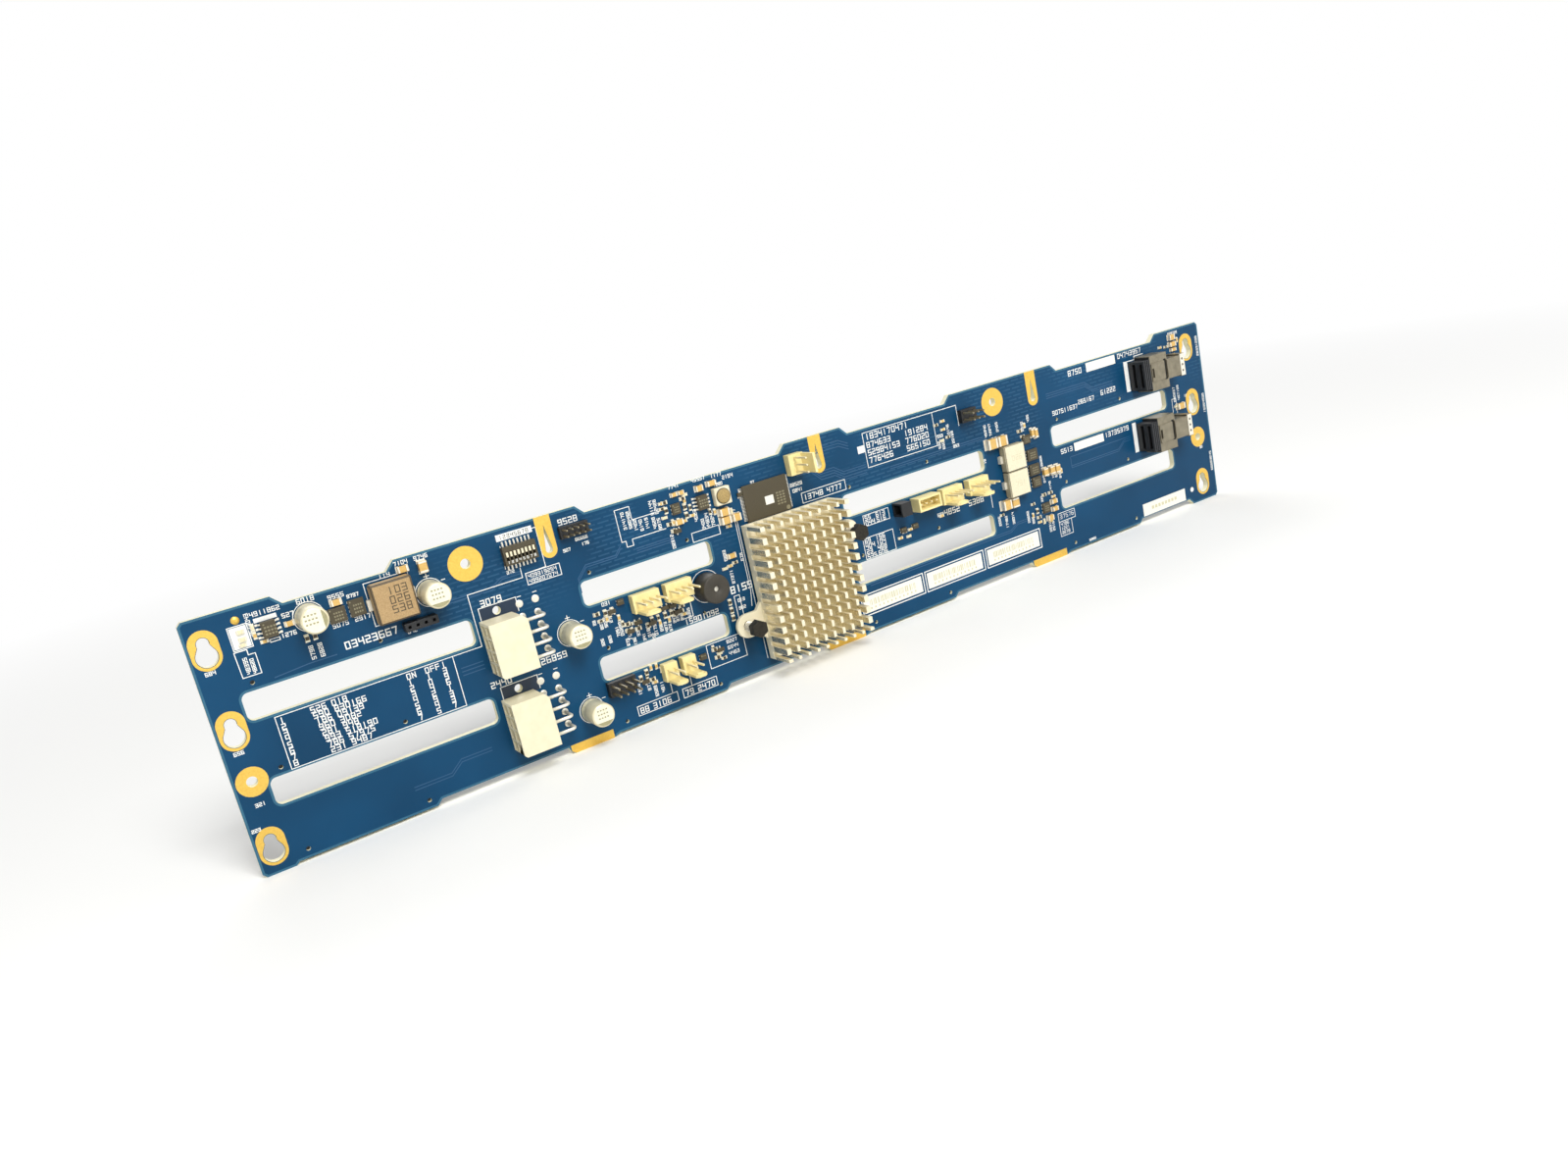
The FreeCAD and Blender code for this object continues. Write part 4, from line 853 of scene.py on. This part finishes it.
# ---- moulded and metal nodes
for number in (1, 2):
    softened("power_header_%d" % number, "nylon", 0.22)
    softened("port_housing_%d" % number, "black", 0.12)
    softened("port_shell_%d" % number, "nickel", 0.06)

# The saw cuts across the fins: where each edge stands in the solid, and where it goes, both up
# the board. They become narrower than the pins between them, and sit a little lower.
SAW_CUTS = 11
OLD_PITCH, OLD_FOOT, OLD_HEAD = 4.12, 8.02, 10.62
NEW_PITCH, NEW_FOOT, NEW_HEAD = 4.02, 7.6, 9.38
SAW_EDGES = [(OLD_FOOT + OLD_PITCH * k, NEW_FOOT + NEW_PITCH * k) for k in range(SAW_CUTS)]
SAW_EDGES += [(OLD_HEAD + OLD_PITCH * k, NEW_HEAD + NEW_PITCH * k) for k in range(SAW_CUTS)]
SAW_EDGES += [(54.2, 51.9), (55.15, 54.3)]
SAW_REACH = 0.03
# The ridge between the pins ends just beyond the first level; the pins are smooth from the second.
RIDGE_OUT, SMOOTH_OUT = 4.5, 6.0


def narrower_cuts(mesh):
    """Moves the edges of the saw cuts, and leaves the ridge, the plate and the ears alone."""
    for corner in mesh.verts:
        if (FACE - corner.co.y) / MM > RIDGE_OUT:
            for old, new in SAW_EDGES:
                if abs(corner.co.z / MM - old) < SAW_REACH:
                    corner.co.z = new * MM
                    break
    level = Vector((0.0, FACE - SMOOTH_OUT * MM, 0.0))
    bmesh.ops.bisect_plane(mesh, geom=mesh.verts[:] + mesh.edges[:] + mesh.faces[:],
                           dist=HAIR, plane_co=level, plane_no=(0.0, 1.0, 0.0))


heat_sink = softened("heatsink", "champagne", 0.1, reshape=narrower_cuts)
heat_sink.data.materials.append(FINISH["drawn"])
for flank in heat_sink.data.polygons:
    if abs(flank.normal.x) > 0.95 and (FACE - flank.center.y) / MM > SMOOTH_OUT:
        flank.material_index = 1
softened("heatsink_screws", "dark_steel", 0.1)
finish_node("heatsink_nuts", "wire")
finish_node("expander_chip", "epoxy")
finish_node("thermal_pad", "pad")
for node in ("left_fan_headers", "right_fan_headers", "signal_headers", "top_fan_header", "sensor_header"):
    softened(node, "cream", 0.15)
BLACK_HEADERS = []
for node in ("serial_header", "bus_header", "debug_header", "option_header", "panel_header"):
    softened(node, "black", 0.1)
    BLACK_HEADERS.append(box_of(node))
PIN_MARGIN = 4


def pin_finish(across, down):
    """Pins in and near the black headers are painted dark, as a reflection of the black plastic."""
    for left, top, _, right, bottom, _ in BLACK_HEADERS:
        beside = left - PIN_MARGIN < across < right + PIN_MARGIN
        if beside and top - PIN_MARGIN < down < bottom + PIN_MARGIN:
            return "pin_painted_dark_reflection"
    return None


# The pins' cream colour is a painted reflection of the cream headers round them.
softened("header_pins", "warm_tin", 0.08, choose=pin_finish)
for number in range(12):
    softened("drive_connector_%d" % (number + 1), "black", 0.12)
finish_node("drive_contacts", "gold")

# The clamp at each port's tail is left bright, with three holes painted as dark discs, which stand for the
# shade inside them.
# Ribs on the nose of each port guide the plug, and are painted lighter grey as a highlight.
CLAMP_LEFT, CLAMP_RIGHT, CLAMP_HALF, CLAMP_HOLE = 2.7, 0.15, 4.6, 0.5
RIBS = (0.45, 1.55, 2.65, 3.6)
clamps = Piece("port_clamps", "nickel")
ribs = Piece("port_ribs", "black_plastic")
for number in (1, 2):
    _, top, _, right, bottom, high = box_of("port_shell_%d" % number)
    middle = (top + bottom) / 2.0
    level = high - 0.5
    clamps.flat(oblong(right - CLAMP_LEFT, middle - CLAMP_HALF, right - CLAMP_RIGHT, middle + CLAMP_HALF),
                level, level + 0.04, "tin")
    # Each hole is a dark epoxy disc painted on the clamp as shade.
    for drop in (-2.5, 0.0, 2.5):
        clamps.spun(right - 1.5, middle + drop, [(CLAMP_HOLE, level + 0.045), (0, level + 0.045)],
                    "epoxy", 16)
    left, top, _, _, bottom, high = box_of("port_housing_%d" % number)
    for run in RIBS:
        ribs.brick(left + run, (top + bottom) / 2.0, high - 0.02, 0.42, bottom - top - 1.6, 0.3, "rib")
clamps.done()
ribs.done()


# ---- separate solids of a node
def solids_of(node):
    """The boxes of a node's separate solids, as box_of gives them, from left to right."""
    mesh = bmesh.new()
    mesh.from_mesh(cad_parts[node].data)
    bmesh.ops.remove_doubles(mesh, verts=mesh.verts[:], dist=HAIR)
    waiting = set(mesh.verts)
    boxes = []
    while waiting:
        front = [waiting.pop()]
        group = list(front)
        while front:
            for edge in front.pop().link_edges:
                for vert in edge.verts:
                    if vert in waiting:
                        waiting.remove(vert)
                        front.append(vert)
                        group.append(vert)
        xs = [(v.co.x - LEFT) / MM for v in group]
        ds = [(TOP - v.co.z) / MM for v in group]
        outs = [(FACE - v.co.y) / MM for v in group]
        boxes.append((min(xs), min(ds), min(outs), max(xs), max(ds), max(outs)))
    mesh.free()
    return sorted(boxes)


PAD_RISE = 0.05


def two_ended(piece, box, rise, middle):
    """A chip part: a fired middle between two dipped metal ends, on its solder pads."""
    across, down, width, height, _ = middle_of(box)
    lengthwise = width >= height
    long, short = max(width, height), min(width, height)
    cap = max(0.35, long * 0.2)

    def part(shift, low, run, thick, up, finish, edge):
        if lengthwise:
            piece.brick(across + shift, down, low, run, thick, up, finish, edge)
        else:
            piece.brick(across, down + shift, low, thick, run, up, finish, edge)

    part(0.0, PAD_RISE, long - 2 * cap, short - 0.06, rise - 0.04 - PAD_RISE, middle, 0.06)
    for side in (-1, 1):
        shift = side * (long - cap) / 2.0
        part(shift, PAD_RISE, cap, short, rise - PAD_RISE, "tin", 0.08)
        part(shift * 1.12, 0.0, cap * 1.7, short * 1.08, PAD_RISE, "tin", 0)


fired = Piece("chip_capacitors_fired", "tan_ceramic")
for box in solids_of("chip_capacitors"):
    two_ended(fired, box, box[5], "tan")
fired.done(replaces=["chip_capacitors"])

# The two by the left end are pale lamps on a white panel.
LAMPS_END = 17
film = Piece("chip_resistors_glazed", "dark_ceramic")
for box in solids_of("chip_resistors"):
    two_ended(film, box, box[5], "cream_ceramic" if box[0] < LAMPS_END else "film")
film.done(replaces=["chip_resistors"])

# Smaller chip parts between the larger ones: across, down, and a letter for the kind, which is
# a capital where the part lies along the board.
KINDS = {"c": "cream_ceramic", "t": "tan", "f": "film"}
SMALL_LONG, SMALL_SHORT, SMALL_RISE = 0.95, 0.5, 0.5
small = Piece("smallest_chip_parts", "dark_ceramic")
for across, down, kind in (
    (18.4, 7.2, "c"), (18.4, 9.6, "t"), (14.6, 11.2, "C"), (20.4, 12, "T"), (120.2, 39.2, "F"),
    (122.4, 39.2, "t"), (123.8, 38, "f"), (126.6, 40.2, "t"), (127.4, 42.6, "f"),
    (129.9, 43.6, "F"), (136.1, 46.2, "f"), (140.4, 44.8, "f"), (140.6, 46.6, "t"),
    (144.2, 46.6, "t"), (147.2, 45.8, "F"), (149.9, 43.6, "F"), (150.1, 46.6, "T"),
    (133.3, 60.4, "t"), (135.4, 60.6, "t"), (136.9, 62.4, "c"), (131.2, 62.6, "f"),
    (133.6, 65.8, "T"), (159.9, 64.4, "C"), (161.2, 66.6, "F"), (157.8, 62, "f"),
    (169.4, 36.2, "C"), (171.6, 35.8, "T"), (173.8, 35.2, "F"), (151.4, 7.6, "T"),
    (151.2, 9.4, "F"), (151.4, 12.6, "C"), (154, 15, "t"), (156.2, 15.2, "f"), (158.4, 15.6, "T"),
    (160, 9, "t"), (161.6, 11.8, "f"), (161.8, 14.6, "T"), (160.6, 7, "C"), (168.6, 15.2, "f"),
    (170.4, 15.8, "t"), (176.8, 17.4, "c"), (174.6, 22.2, "T"), (271.6, 9.8, "F"),
    (274.6, 12.2, "T"), (276.4, 15.6, "F"), (273.2, 16.2, "C"), (275, 9, "T"), (313.8, 24.6, "F"),
    (315.6, 20.6, "t"), (322.8, 40.4, "T"), (325, 43.4, "F"), (327.6, 43.2, "t"),
    (329.6, 43.4, "f"), (331.6, 43.6, "t"), (313.6, 53, "F"), (315.8, 61.2, "T"),
    (318.2, 61.6, "c"), (312.6, 57.6, "t"), (321.8, 62.4, "T"), (323.6, 55.4, "F"),
    (325.2, 52.8, "T"), (324.8, 58.2, "C"), (402.6, 6.8, "F"), (406.8, 11, "T"), (404.6, 33.6, "C"),
    (410.2, 5.2, "t"), (399, 6.4, "T"), (247.8, 45.6, "F"), (250.6, 45.4, "T"), (253.4, 45, "F"),
    (245.4, 47.4, "T"), (249.4, 47.8, "C"), (266.6, 44.6, "T"), (296.6, 52.8, "F"),
):
    half, drop = (SMALL_LONG, SMALL_SHORT) if kind.isupper() else (SMALL_SHORT, SMALL_LONG)
    box = (across - half, down - drop, 0.0, across + half, down + drop, SMALL_RISE)
    two_ended(small, box, SMALL_RISE, KINDS[kind.lower()])
small.done()


# ---- chips
LEAD_PITCH = 1.27
LEAD_THICK = 0.14
MARK_RISE = 0.004


def lead_row(piece, across, down, count, apart, reach, rise, side):
    """Bent leads along one side of a chip: a shoulder, a slope and a flat foot."""
    shoulder = rise * 0.55
    profile = ((0.0, shoulder), (reach * 0.35, shoulder), (reach * 0.6, LEAD_THICK), (reach, LEAD_THICK))
    half = apart * 0.4 / 2
    for number in range(count):
        place = down + (number - (count - 1) / 2.0) * apart
        for (run, out), (next_run, next_out) in zip(profile, profile[1:]):
            near, far = across + side * run, across + side * next_run
            for low in (0.0, -LEAD_THICK):
                piece.face([spot(near, place - half, out + low), spot(far, place - half, next_out + low),
                            spot(far, place + half, next_out + low), spot(near, place + half, out + low)],
                           "tin")
        piece.brick(across + side * reach, place, 0.0, 0.7, apart * 0.4 * 1.3, 0.1, "tin", 0)


chips = Piece("chips_moulded", "chip_plastic")
for box in solids_of("small_chips"):
    left, top = box[:2]
    across, down, width, height, high = middle_of(box)
    if high > 1.3:
        body = width - 2.2
        chips.brick(across, down, 0.15, body, height, high - 0.15, "epoxy", 0.12)
        for side in (-1, 1):
            lead_row(chips, across + side * body / 2, down, 4, LEAD_PITCH, 1.0, high, side)
        dot = (across - body / 2 + 0.8, down - height / 2 + 0.8)
    else:
        chips.brick(across, down, 0.04, width - 0.24, height - 0.24, high - 0.04, "epoxy", 0.08)
        count = max(2, round(height / LEAD_PITCH))
        for side in (-1, 1):
            for number in range(count):
                place = down + (number - (count - 1) / 2.0) * (height / count)
                chips.brick(across + side * (width / 2 - 0.15), place, 0.0, 0.3, height / count * 0.5,
                            0.25, "tin", 0)
        dot = (left + 0.7, top + 0.7)
    for row in range(3 if width > 3 else 1):
        level = down + (row - 1) * height * 0.2
        for mark in range(4):
            place = across - width * 0.22 + mark * width * 0.14
            chips.patch(place, level, place + width * 0.09, level + height * 0.1, high + MARK_RISE, "mark")
    chips.spun(*dot, [(0, high + MARK_RISE), (0.25, high + MARK_RISE)], "mark", 12)
chips.done(replaces=["small_chips"])

# Small three-legged parts: across, down, and which way the single leg points.
LEG_WIDTH, LEG_SPREAD = 0.42, 0.95
legged = Piece("three_legged_parts", "chip_plastic")
for across, down, side in (
    (143.5, 42.2, 1), (146.4, 42.4, -1), (132.8, 43.9, 1), (137.9, 45.7, -1), (129.4, 45.9, 1),
    (147.7, 45, 1), (124.6, 37.3, -1), (130.2, 64.4, 1), (160.4, 63.2, -1), (154.8, 18.2, 1),
    (181.6, 12.6, -1),
):
    legged.brick(across, down, 0.12, 2.7, 1.35, 0.85, "epoxy", 0.1)
    for shift, way in ((0.0, side), (-LEG_SPREAD, -side), (LEG_SPREAD, -side)):
        legged.brick(across + shift, down + way * 0.95, 0.0, LEG_WIDTH, 0.75, 0.16, "tin", 0)
        legged.brick(across + shift, down + way * 0.72, 0.0, LEG_WIDTH - 0.02, 0.16, 0.5, "tin", 0)
legged.done()

across, down, width, height, high = middle_of(box_of("memory_chip"))
memory = Piece("memory_chip_moulded", "chip_plastic")
memory_body = width - 1.6
memory.brick(across, down, 0.12, memory_body, height, high - 0.12, "epoxy", 0.1)
for side in (-1, 1):
    lead_row(memory, across + side * memory_body / 2, down, 24, 0.5, 0.7, high, side)
memory.flat(oblong(190.4, 15.9, 193.9, 18.9), high, high + 0.05, "label")
for row in range(5):
    for mark in range(3):
        place, level = 195.2 + mark * 1.3, 15.6 + row
        memory.patch(place, level, place + 0.9, level + 0.55, high + MARK_RISE, "mark")
memory.spun(199.2, 22.0, [(0, high + MARK_RISE), (0.8, high + MARK_RISE)], "mark", 20)
memory.done(replaces=["memory_chip"])

# ---- switch block
switch_across, switch_down, _, _, high = middle_of(box_of("switch_block"))
SWITCH_PITCH, SWITCH_HALF = 1.27, 3.0


def leg_finish(across, down):
    """What stands out of the switch's body above and below is a leg."""
    return "tin" if abs(down - switch_down) > SWITCH_HALF + 0.05 else None


softened("switch_block", "epoxy", 0.04, choose=leg_finish)
marks = Print("switch_marks", "switch_plastic")
for number in range(8):
    name = str(number + 1)
    softened("switch_slider_" + name, "nylon", 0.05, body="slider_" + name)
    place = switch_across + (number - 3.5) * SWITCH_PITCH
    marks.digits(place - 0.22, switch_down + 1.55, name, 0.75, pen=0.14, rise=high + 0.01)
    marks.digits(place - 0.3, 2.4, name, 1.15, pen=0.16, finish="film", rise=INK + 0.01)
marks.done()

# ---- power pins
BEND = 1.5
PIN_RADIUS = 0.53


def bent_pin(piece, start, down, level, foot):
    """A round pin that leaves the housing level and turns down to the board."""
    path = [(start, down, level), (foot - BEND, down, level)]
    for step in range(1, 7):
        angle = math.radians(15 * step)
        path.append((foot - BEND + BEND * math.sin(angle), down, level - BEND + BEND * math.cos(angle)))
    path.append((foot, down, 0.03))
    piece.rod(path, PIN_RADIUS, "tin", 14)
    piece.spun(foot, down, [(1.15, 0.02), (1.1, 0.08), (0.75, 0.2), (PIN_RADIUS, 0.7)], "tin", 24)


pins = Piece("power_pins_drawn", "tin")
for number in (1, 2):
    _, top, _, right, bottom, high = box_of("power_header_%d" % number)
    middle = (top + bottom) / 2.0
    for place in (-6.3, -2.1, 2.1, 6.3):
        bent_pin(pins, right - 0.3, middle + place, high / 2 + 2.1, right + 6.7)
        bent_pin(pins, right - 0.3, middle + place, high / 2 - 2.1, right + 1.4)
    # Two domes of solder stand above each header.
    for across in (right + 1.5, right + 7.0):
        pins.spun(across, top - 1.6, [(0, 0.14), (0.6, 0.13), (1.1, 0.08), (1.25, 0.0)], "tin", 28)
pins.done(replaces=["power_pins"])

# ---- springs
WIRE_RADIUS, TURNS, STEPS = 0.25, 5, 20
springs = Piece("springs_coiled", "spring_steel")
for box in solids_of("heatsink_springs"):
    across, down, width, _, high = middle_of(box)
    low = box[2]
    radius = width / 2.0 - 0.26
    path = []
    for step in range(TURNS * STEPS + 1):
        angle = 2.0 * math.pi * step / STEPS
        level = low + 0.27 + (high - low - 0.54) * step / (TURNS * STEPS)
        path.append((across + radius * math.cos(angle), down + radius * math.sin(angle), level))
    springs.rod(path, WIRE_RADIUS, "wire", 8)
springs.done(replaces=["heatsink_springs"])

# ---- cans
# Half the angle of the printed stripe, and the width of the rolled lip.
STRIPE_HALF, LIP = 52, 0.55
for number in range(4):
    node = "capacitor_can_%d" % (number + 1)
    across, down, width, _, high = middle_of(box_of(node))
    radius = width / 2
    can = Piece(node + "_drawn", "can_aluminium")
    can.spun(across, down, [
        (0, 0.02), (radius * 0.98, 0.02), (radius, 0.2), (radius, 1.5), (radius - 0.25, 1.9),
        (radius - 0.25, 2.1), (radius, 2.5), (radius, high - 0.6), (radius - 0.15, high - 0.2),
        (radius - LIP, high - 0.02)], "can", 48)
    # The first can lies the other way round.
    facing, nudge = (0, 0.8) if number == 0 else (90, 0.0)
    start, end = facing - STRIPE_HALF, facing + STRIPE_HALF
    for edge, finish in ((arc(across, down, radius - LIP, end, start + 360, 32), "can_top"),
                         (arc(across, down, radius - LIP, start, end, 16), "can_stripe")):
        can.face([spot(a, d, high - 0.02) for a, d in edge], finish)
    for row in range(3):
        for mark in range(4):
            place, level = across - 2.0 + mark - nudge, down - 2.2 + row * 1.3
            can.patch(place, level, place + 0.6, level + 0.5, high - 0.01, "can_stripe")
    can.done(replaces=[node])

# ---- wound parts and buzzer
ENGRAVED = 0.005
across, down, width, size, high = middle_of(box_of("power_choke"))
choke = Piece("power_choke_pressed", "choke_compound")
# The lower body is painted dark as shade under the tan upper body.
choke.brick(across, down, 0.25, size - 0.9, size - 0.9, high - 1.6, "painted_shade_and_mark", 0.4)
choke.brick(across, down, 0.9, size - 0.2, size - 0.2, high - 0.9, "powder", 0.6)
for side in (-1, 1):
    choke.brick(across + side * width * 0.42, down, 0.02, 2.2, 3.6, 0.9, "tin", 0.1)
marks = Print("choke_marks", "choke_compound")
for row, letters in enumerate(("103", "026", "538")):
    marks.digits(across - 1.4, down - 4.4 + row * 2.9, letters, 2.1, pen=0.34, finish="painted_shade_and_mark",
                 rise=high + ENGRAVED)
marks.done()
choke.done(replaces=["power_choke"])

for number in (1, 2):
    node = "square_inductor_%d" % number
    across, down, width, size, high = middle_of(box_of(node))
    coil = Piece(node + "_ground", "ferrite")
    coil.brick(across, down, 0.2, size - 0.1, size - 0.1, high - 0.9, "ferrite_side", 0.3)
    coil.brick(across, down, high - 1.0, size, size, 1.0, "ferrite", 0.25)
    for side in (-1, 1):
        coil.brick(across + side * width * 0.43, down, 0.02, 1.7, 3.0, 1.6, "tin", 0.1)
    coil.done(replaces=[node])
    marks = Print(node + "_marks", "ferrite")
    marks.digits(across - 2.0, down - 0.8, some_digits(3), 1.8, pen=0.24, finish="label_mark",
                 rise=high + ENGRAVED)
    marks.done()

across, down, width, height, high = middle_of(box_of("round_inductor"))
# A gap of dark epoxy lies between the ferrite square and the wound bobbin.
GAP_RADIUS, BOBBIN_RADIUS = 2.75, 2.45
drum = Piece("round_inductor_shielded", "ferrite")
drum.brick(across, down, 0.02, width, height, high - 0.5, "ferrite", 0.35)
drum.spun(across, down, [(GAP_RADIUS, high - 0.6), (GAP_RADIUS, high - 0.35), (BOBBIN_RADIUS, high - 0.35)],
          "epoxy", 40)
drum.spun(across, down, [(BOBBIN_RADIUS, high - 0.6), (BOBBIN_RADIUS, high - 0.1), (2.3, high), (0, high)],
          "bobbin", 40)
drum.done(replaces=["round_inductor"])

across, down, width, _, high = middle_of(box_of("buzzer"))
radius = width / 2
SOUND_HOLE = 0.95
buzzer = Piece("buzzer_shell", "olive_plastic")
buzzer.spun(across, down, [
    (0, 0.02), (radius, 0.02), (radius, high - 0.45), (radius - 0.1, high - 0.15),
    (radius - 0.4, high - 0.02), (SOUND_HOLE + 0.1, high - 0.02), (SOUND_HOLE, high - 0.15),
    (SOUND_HOLE, high - 0.9)], "olive", 56)
buzzer.spun(across, down, [(SOUND_HOLE, high - 0.9), (0, high - 0.9)], "tin", 32)
buzzer.done(replaces=["buzzer"])

# ---- studio
# The floor is matt near the board, where it takes the shadow, and white further out, in metres.
FLOOR_REACH = 12.0
SHADOW_ENDS = {"From Min": 0.3, "From Max": 0.75}
stage = bpy.data.meshes.new("studio_floor")
corners = oblong(-FLOOR_REACH, -FLOOR_REACH, FLOOR_REACH, FLOOR_REACH)
stage.from_pydata([(x, y, 0) for x, y in corners], [], [(0, 1, 2, 3)])
floor = bpy.data.objects.new("studio_floor", stage)
bpy.context.scene.collection.objects.link(floor)
material, tree, shader = blank("pale_studio_floor")
shader.inputs["Base Color"].default_value = linear("#f7f7f5")
shader.inputs["Roughness"].default_value = 0.9
shader.inputs["Specular IOR Level"].default_value = 0.0
place = add(tree, "TexCoord").outputs["Object"]
distance = add(tree, "VectorMath", {"operation": "LENGTH"}, {0: place})
far = add(tree, "MapRange", SHADOW_ENDS, {"Value": distance.outputs["Value"]})
white_out = times(tree, far.outputs["Result"], add(tree, "LightPath").outputs["Is Camera Ray"])
glow = add(tree, "Emission", {"Color": linear("#ffffff"), "Strength": 1.0})
blend = add(tree, "MixShader", {}, {0: white_out, 1: shader.outputs["BSDF"], 2: glow.outputs["Emission"]})
output = next(node for node in tree.nodes if node.bl_idname == "ShaderNodeOutputMaterial")
tree.links.new(blend.outputs["Shader"], output.inputs["Surface"])
stage.materials.append(material)

# The sky gives a soft even light, and looks white to the camera and in reflections.
world = bpy.data.worlds.new("studio")
bpy.context.scene.world = world
world.use_nodes = True
tree = world.node_tree
tree.nodes.clear()
seen = add(tree, "LightPath")
straight = add(tree, "Math", {"operation": "MAXIMUM"},
               {0: seen.outputs["Is Camera Ray"], 1: seen.outputs["Is Glossy Ray"]})
strength = add(tree, "MapRange", {"To Min": 0.4, "To Max": 1.0}, {"Value": straight.outputs["Value"]})
sky = add(tree, "Background", {"Color": linear("#ffffff")}, {"Strength": strength.outputs["Result"]})
add(tree, "OutputWorld", {}, {"Surface": sky.outputs["Background"]})

# Soft lamps, all aimed at the middle of the board: name, place, size in metres, watts.
AIM = Vector((0, 0, 0.04))
for name, place, size, power in (
    ("key_lamp", (-0.1, -0.95, 1.0), 0.6, 16.5),
    ("fill_lamp", (1.0, -0.9, 0.4), 1.0, 1.5),
    ("back_lamp", (0.2, 1.1, 0.8), 1.0, 5.0),
):
    light = bpy.data.lights.new(name, "AREA")
    light.energy = power
    light.size = size
    lamp = bpy.data.objects.new(name, light)
    bpy.context.scene.collection.objects.link(lamp)
    lamp.location = place
    lamp.rotation_euler = (AIM - Vector(place)).to_track_quat("-Z", "Y").to_euler()

# ---- camera
view = bpy.data.cameras.new("photo_view")
view.lens = 27.723
view.sensor_width = 36.0
view.clip_start = 0.01
view.clip_end = 30.0
camera = bpy.data.objects.new("photo_view", view)
bpy.context.scene.collection.objects.link(camera)
camera.location = (-0.22816, -0.36775, 0.13383)
camera.rotation_mode = "QUATERNION"
camera.rotation_quaternion = Quaternion((0.736184, 0.609508, -0.090401, -0.279929))
bpy.context.scene.camera = camera
bpy.context.scene.view_settings.view_transform = "Standard"
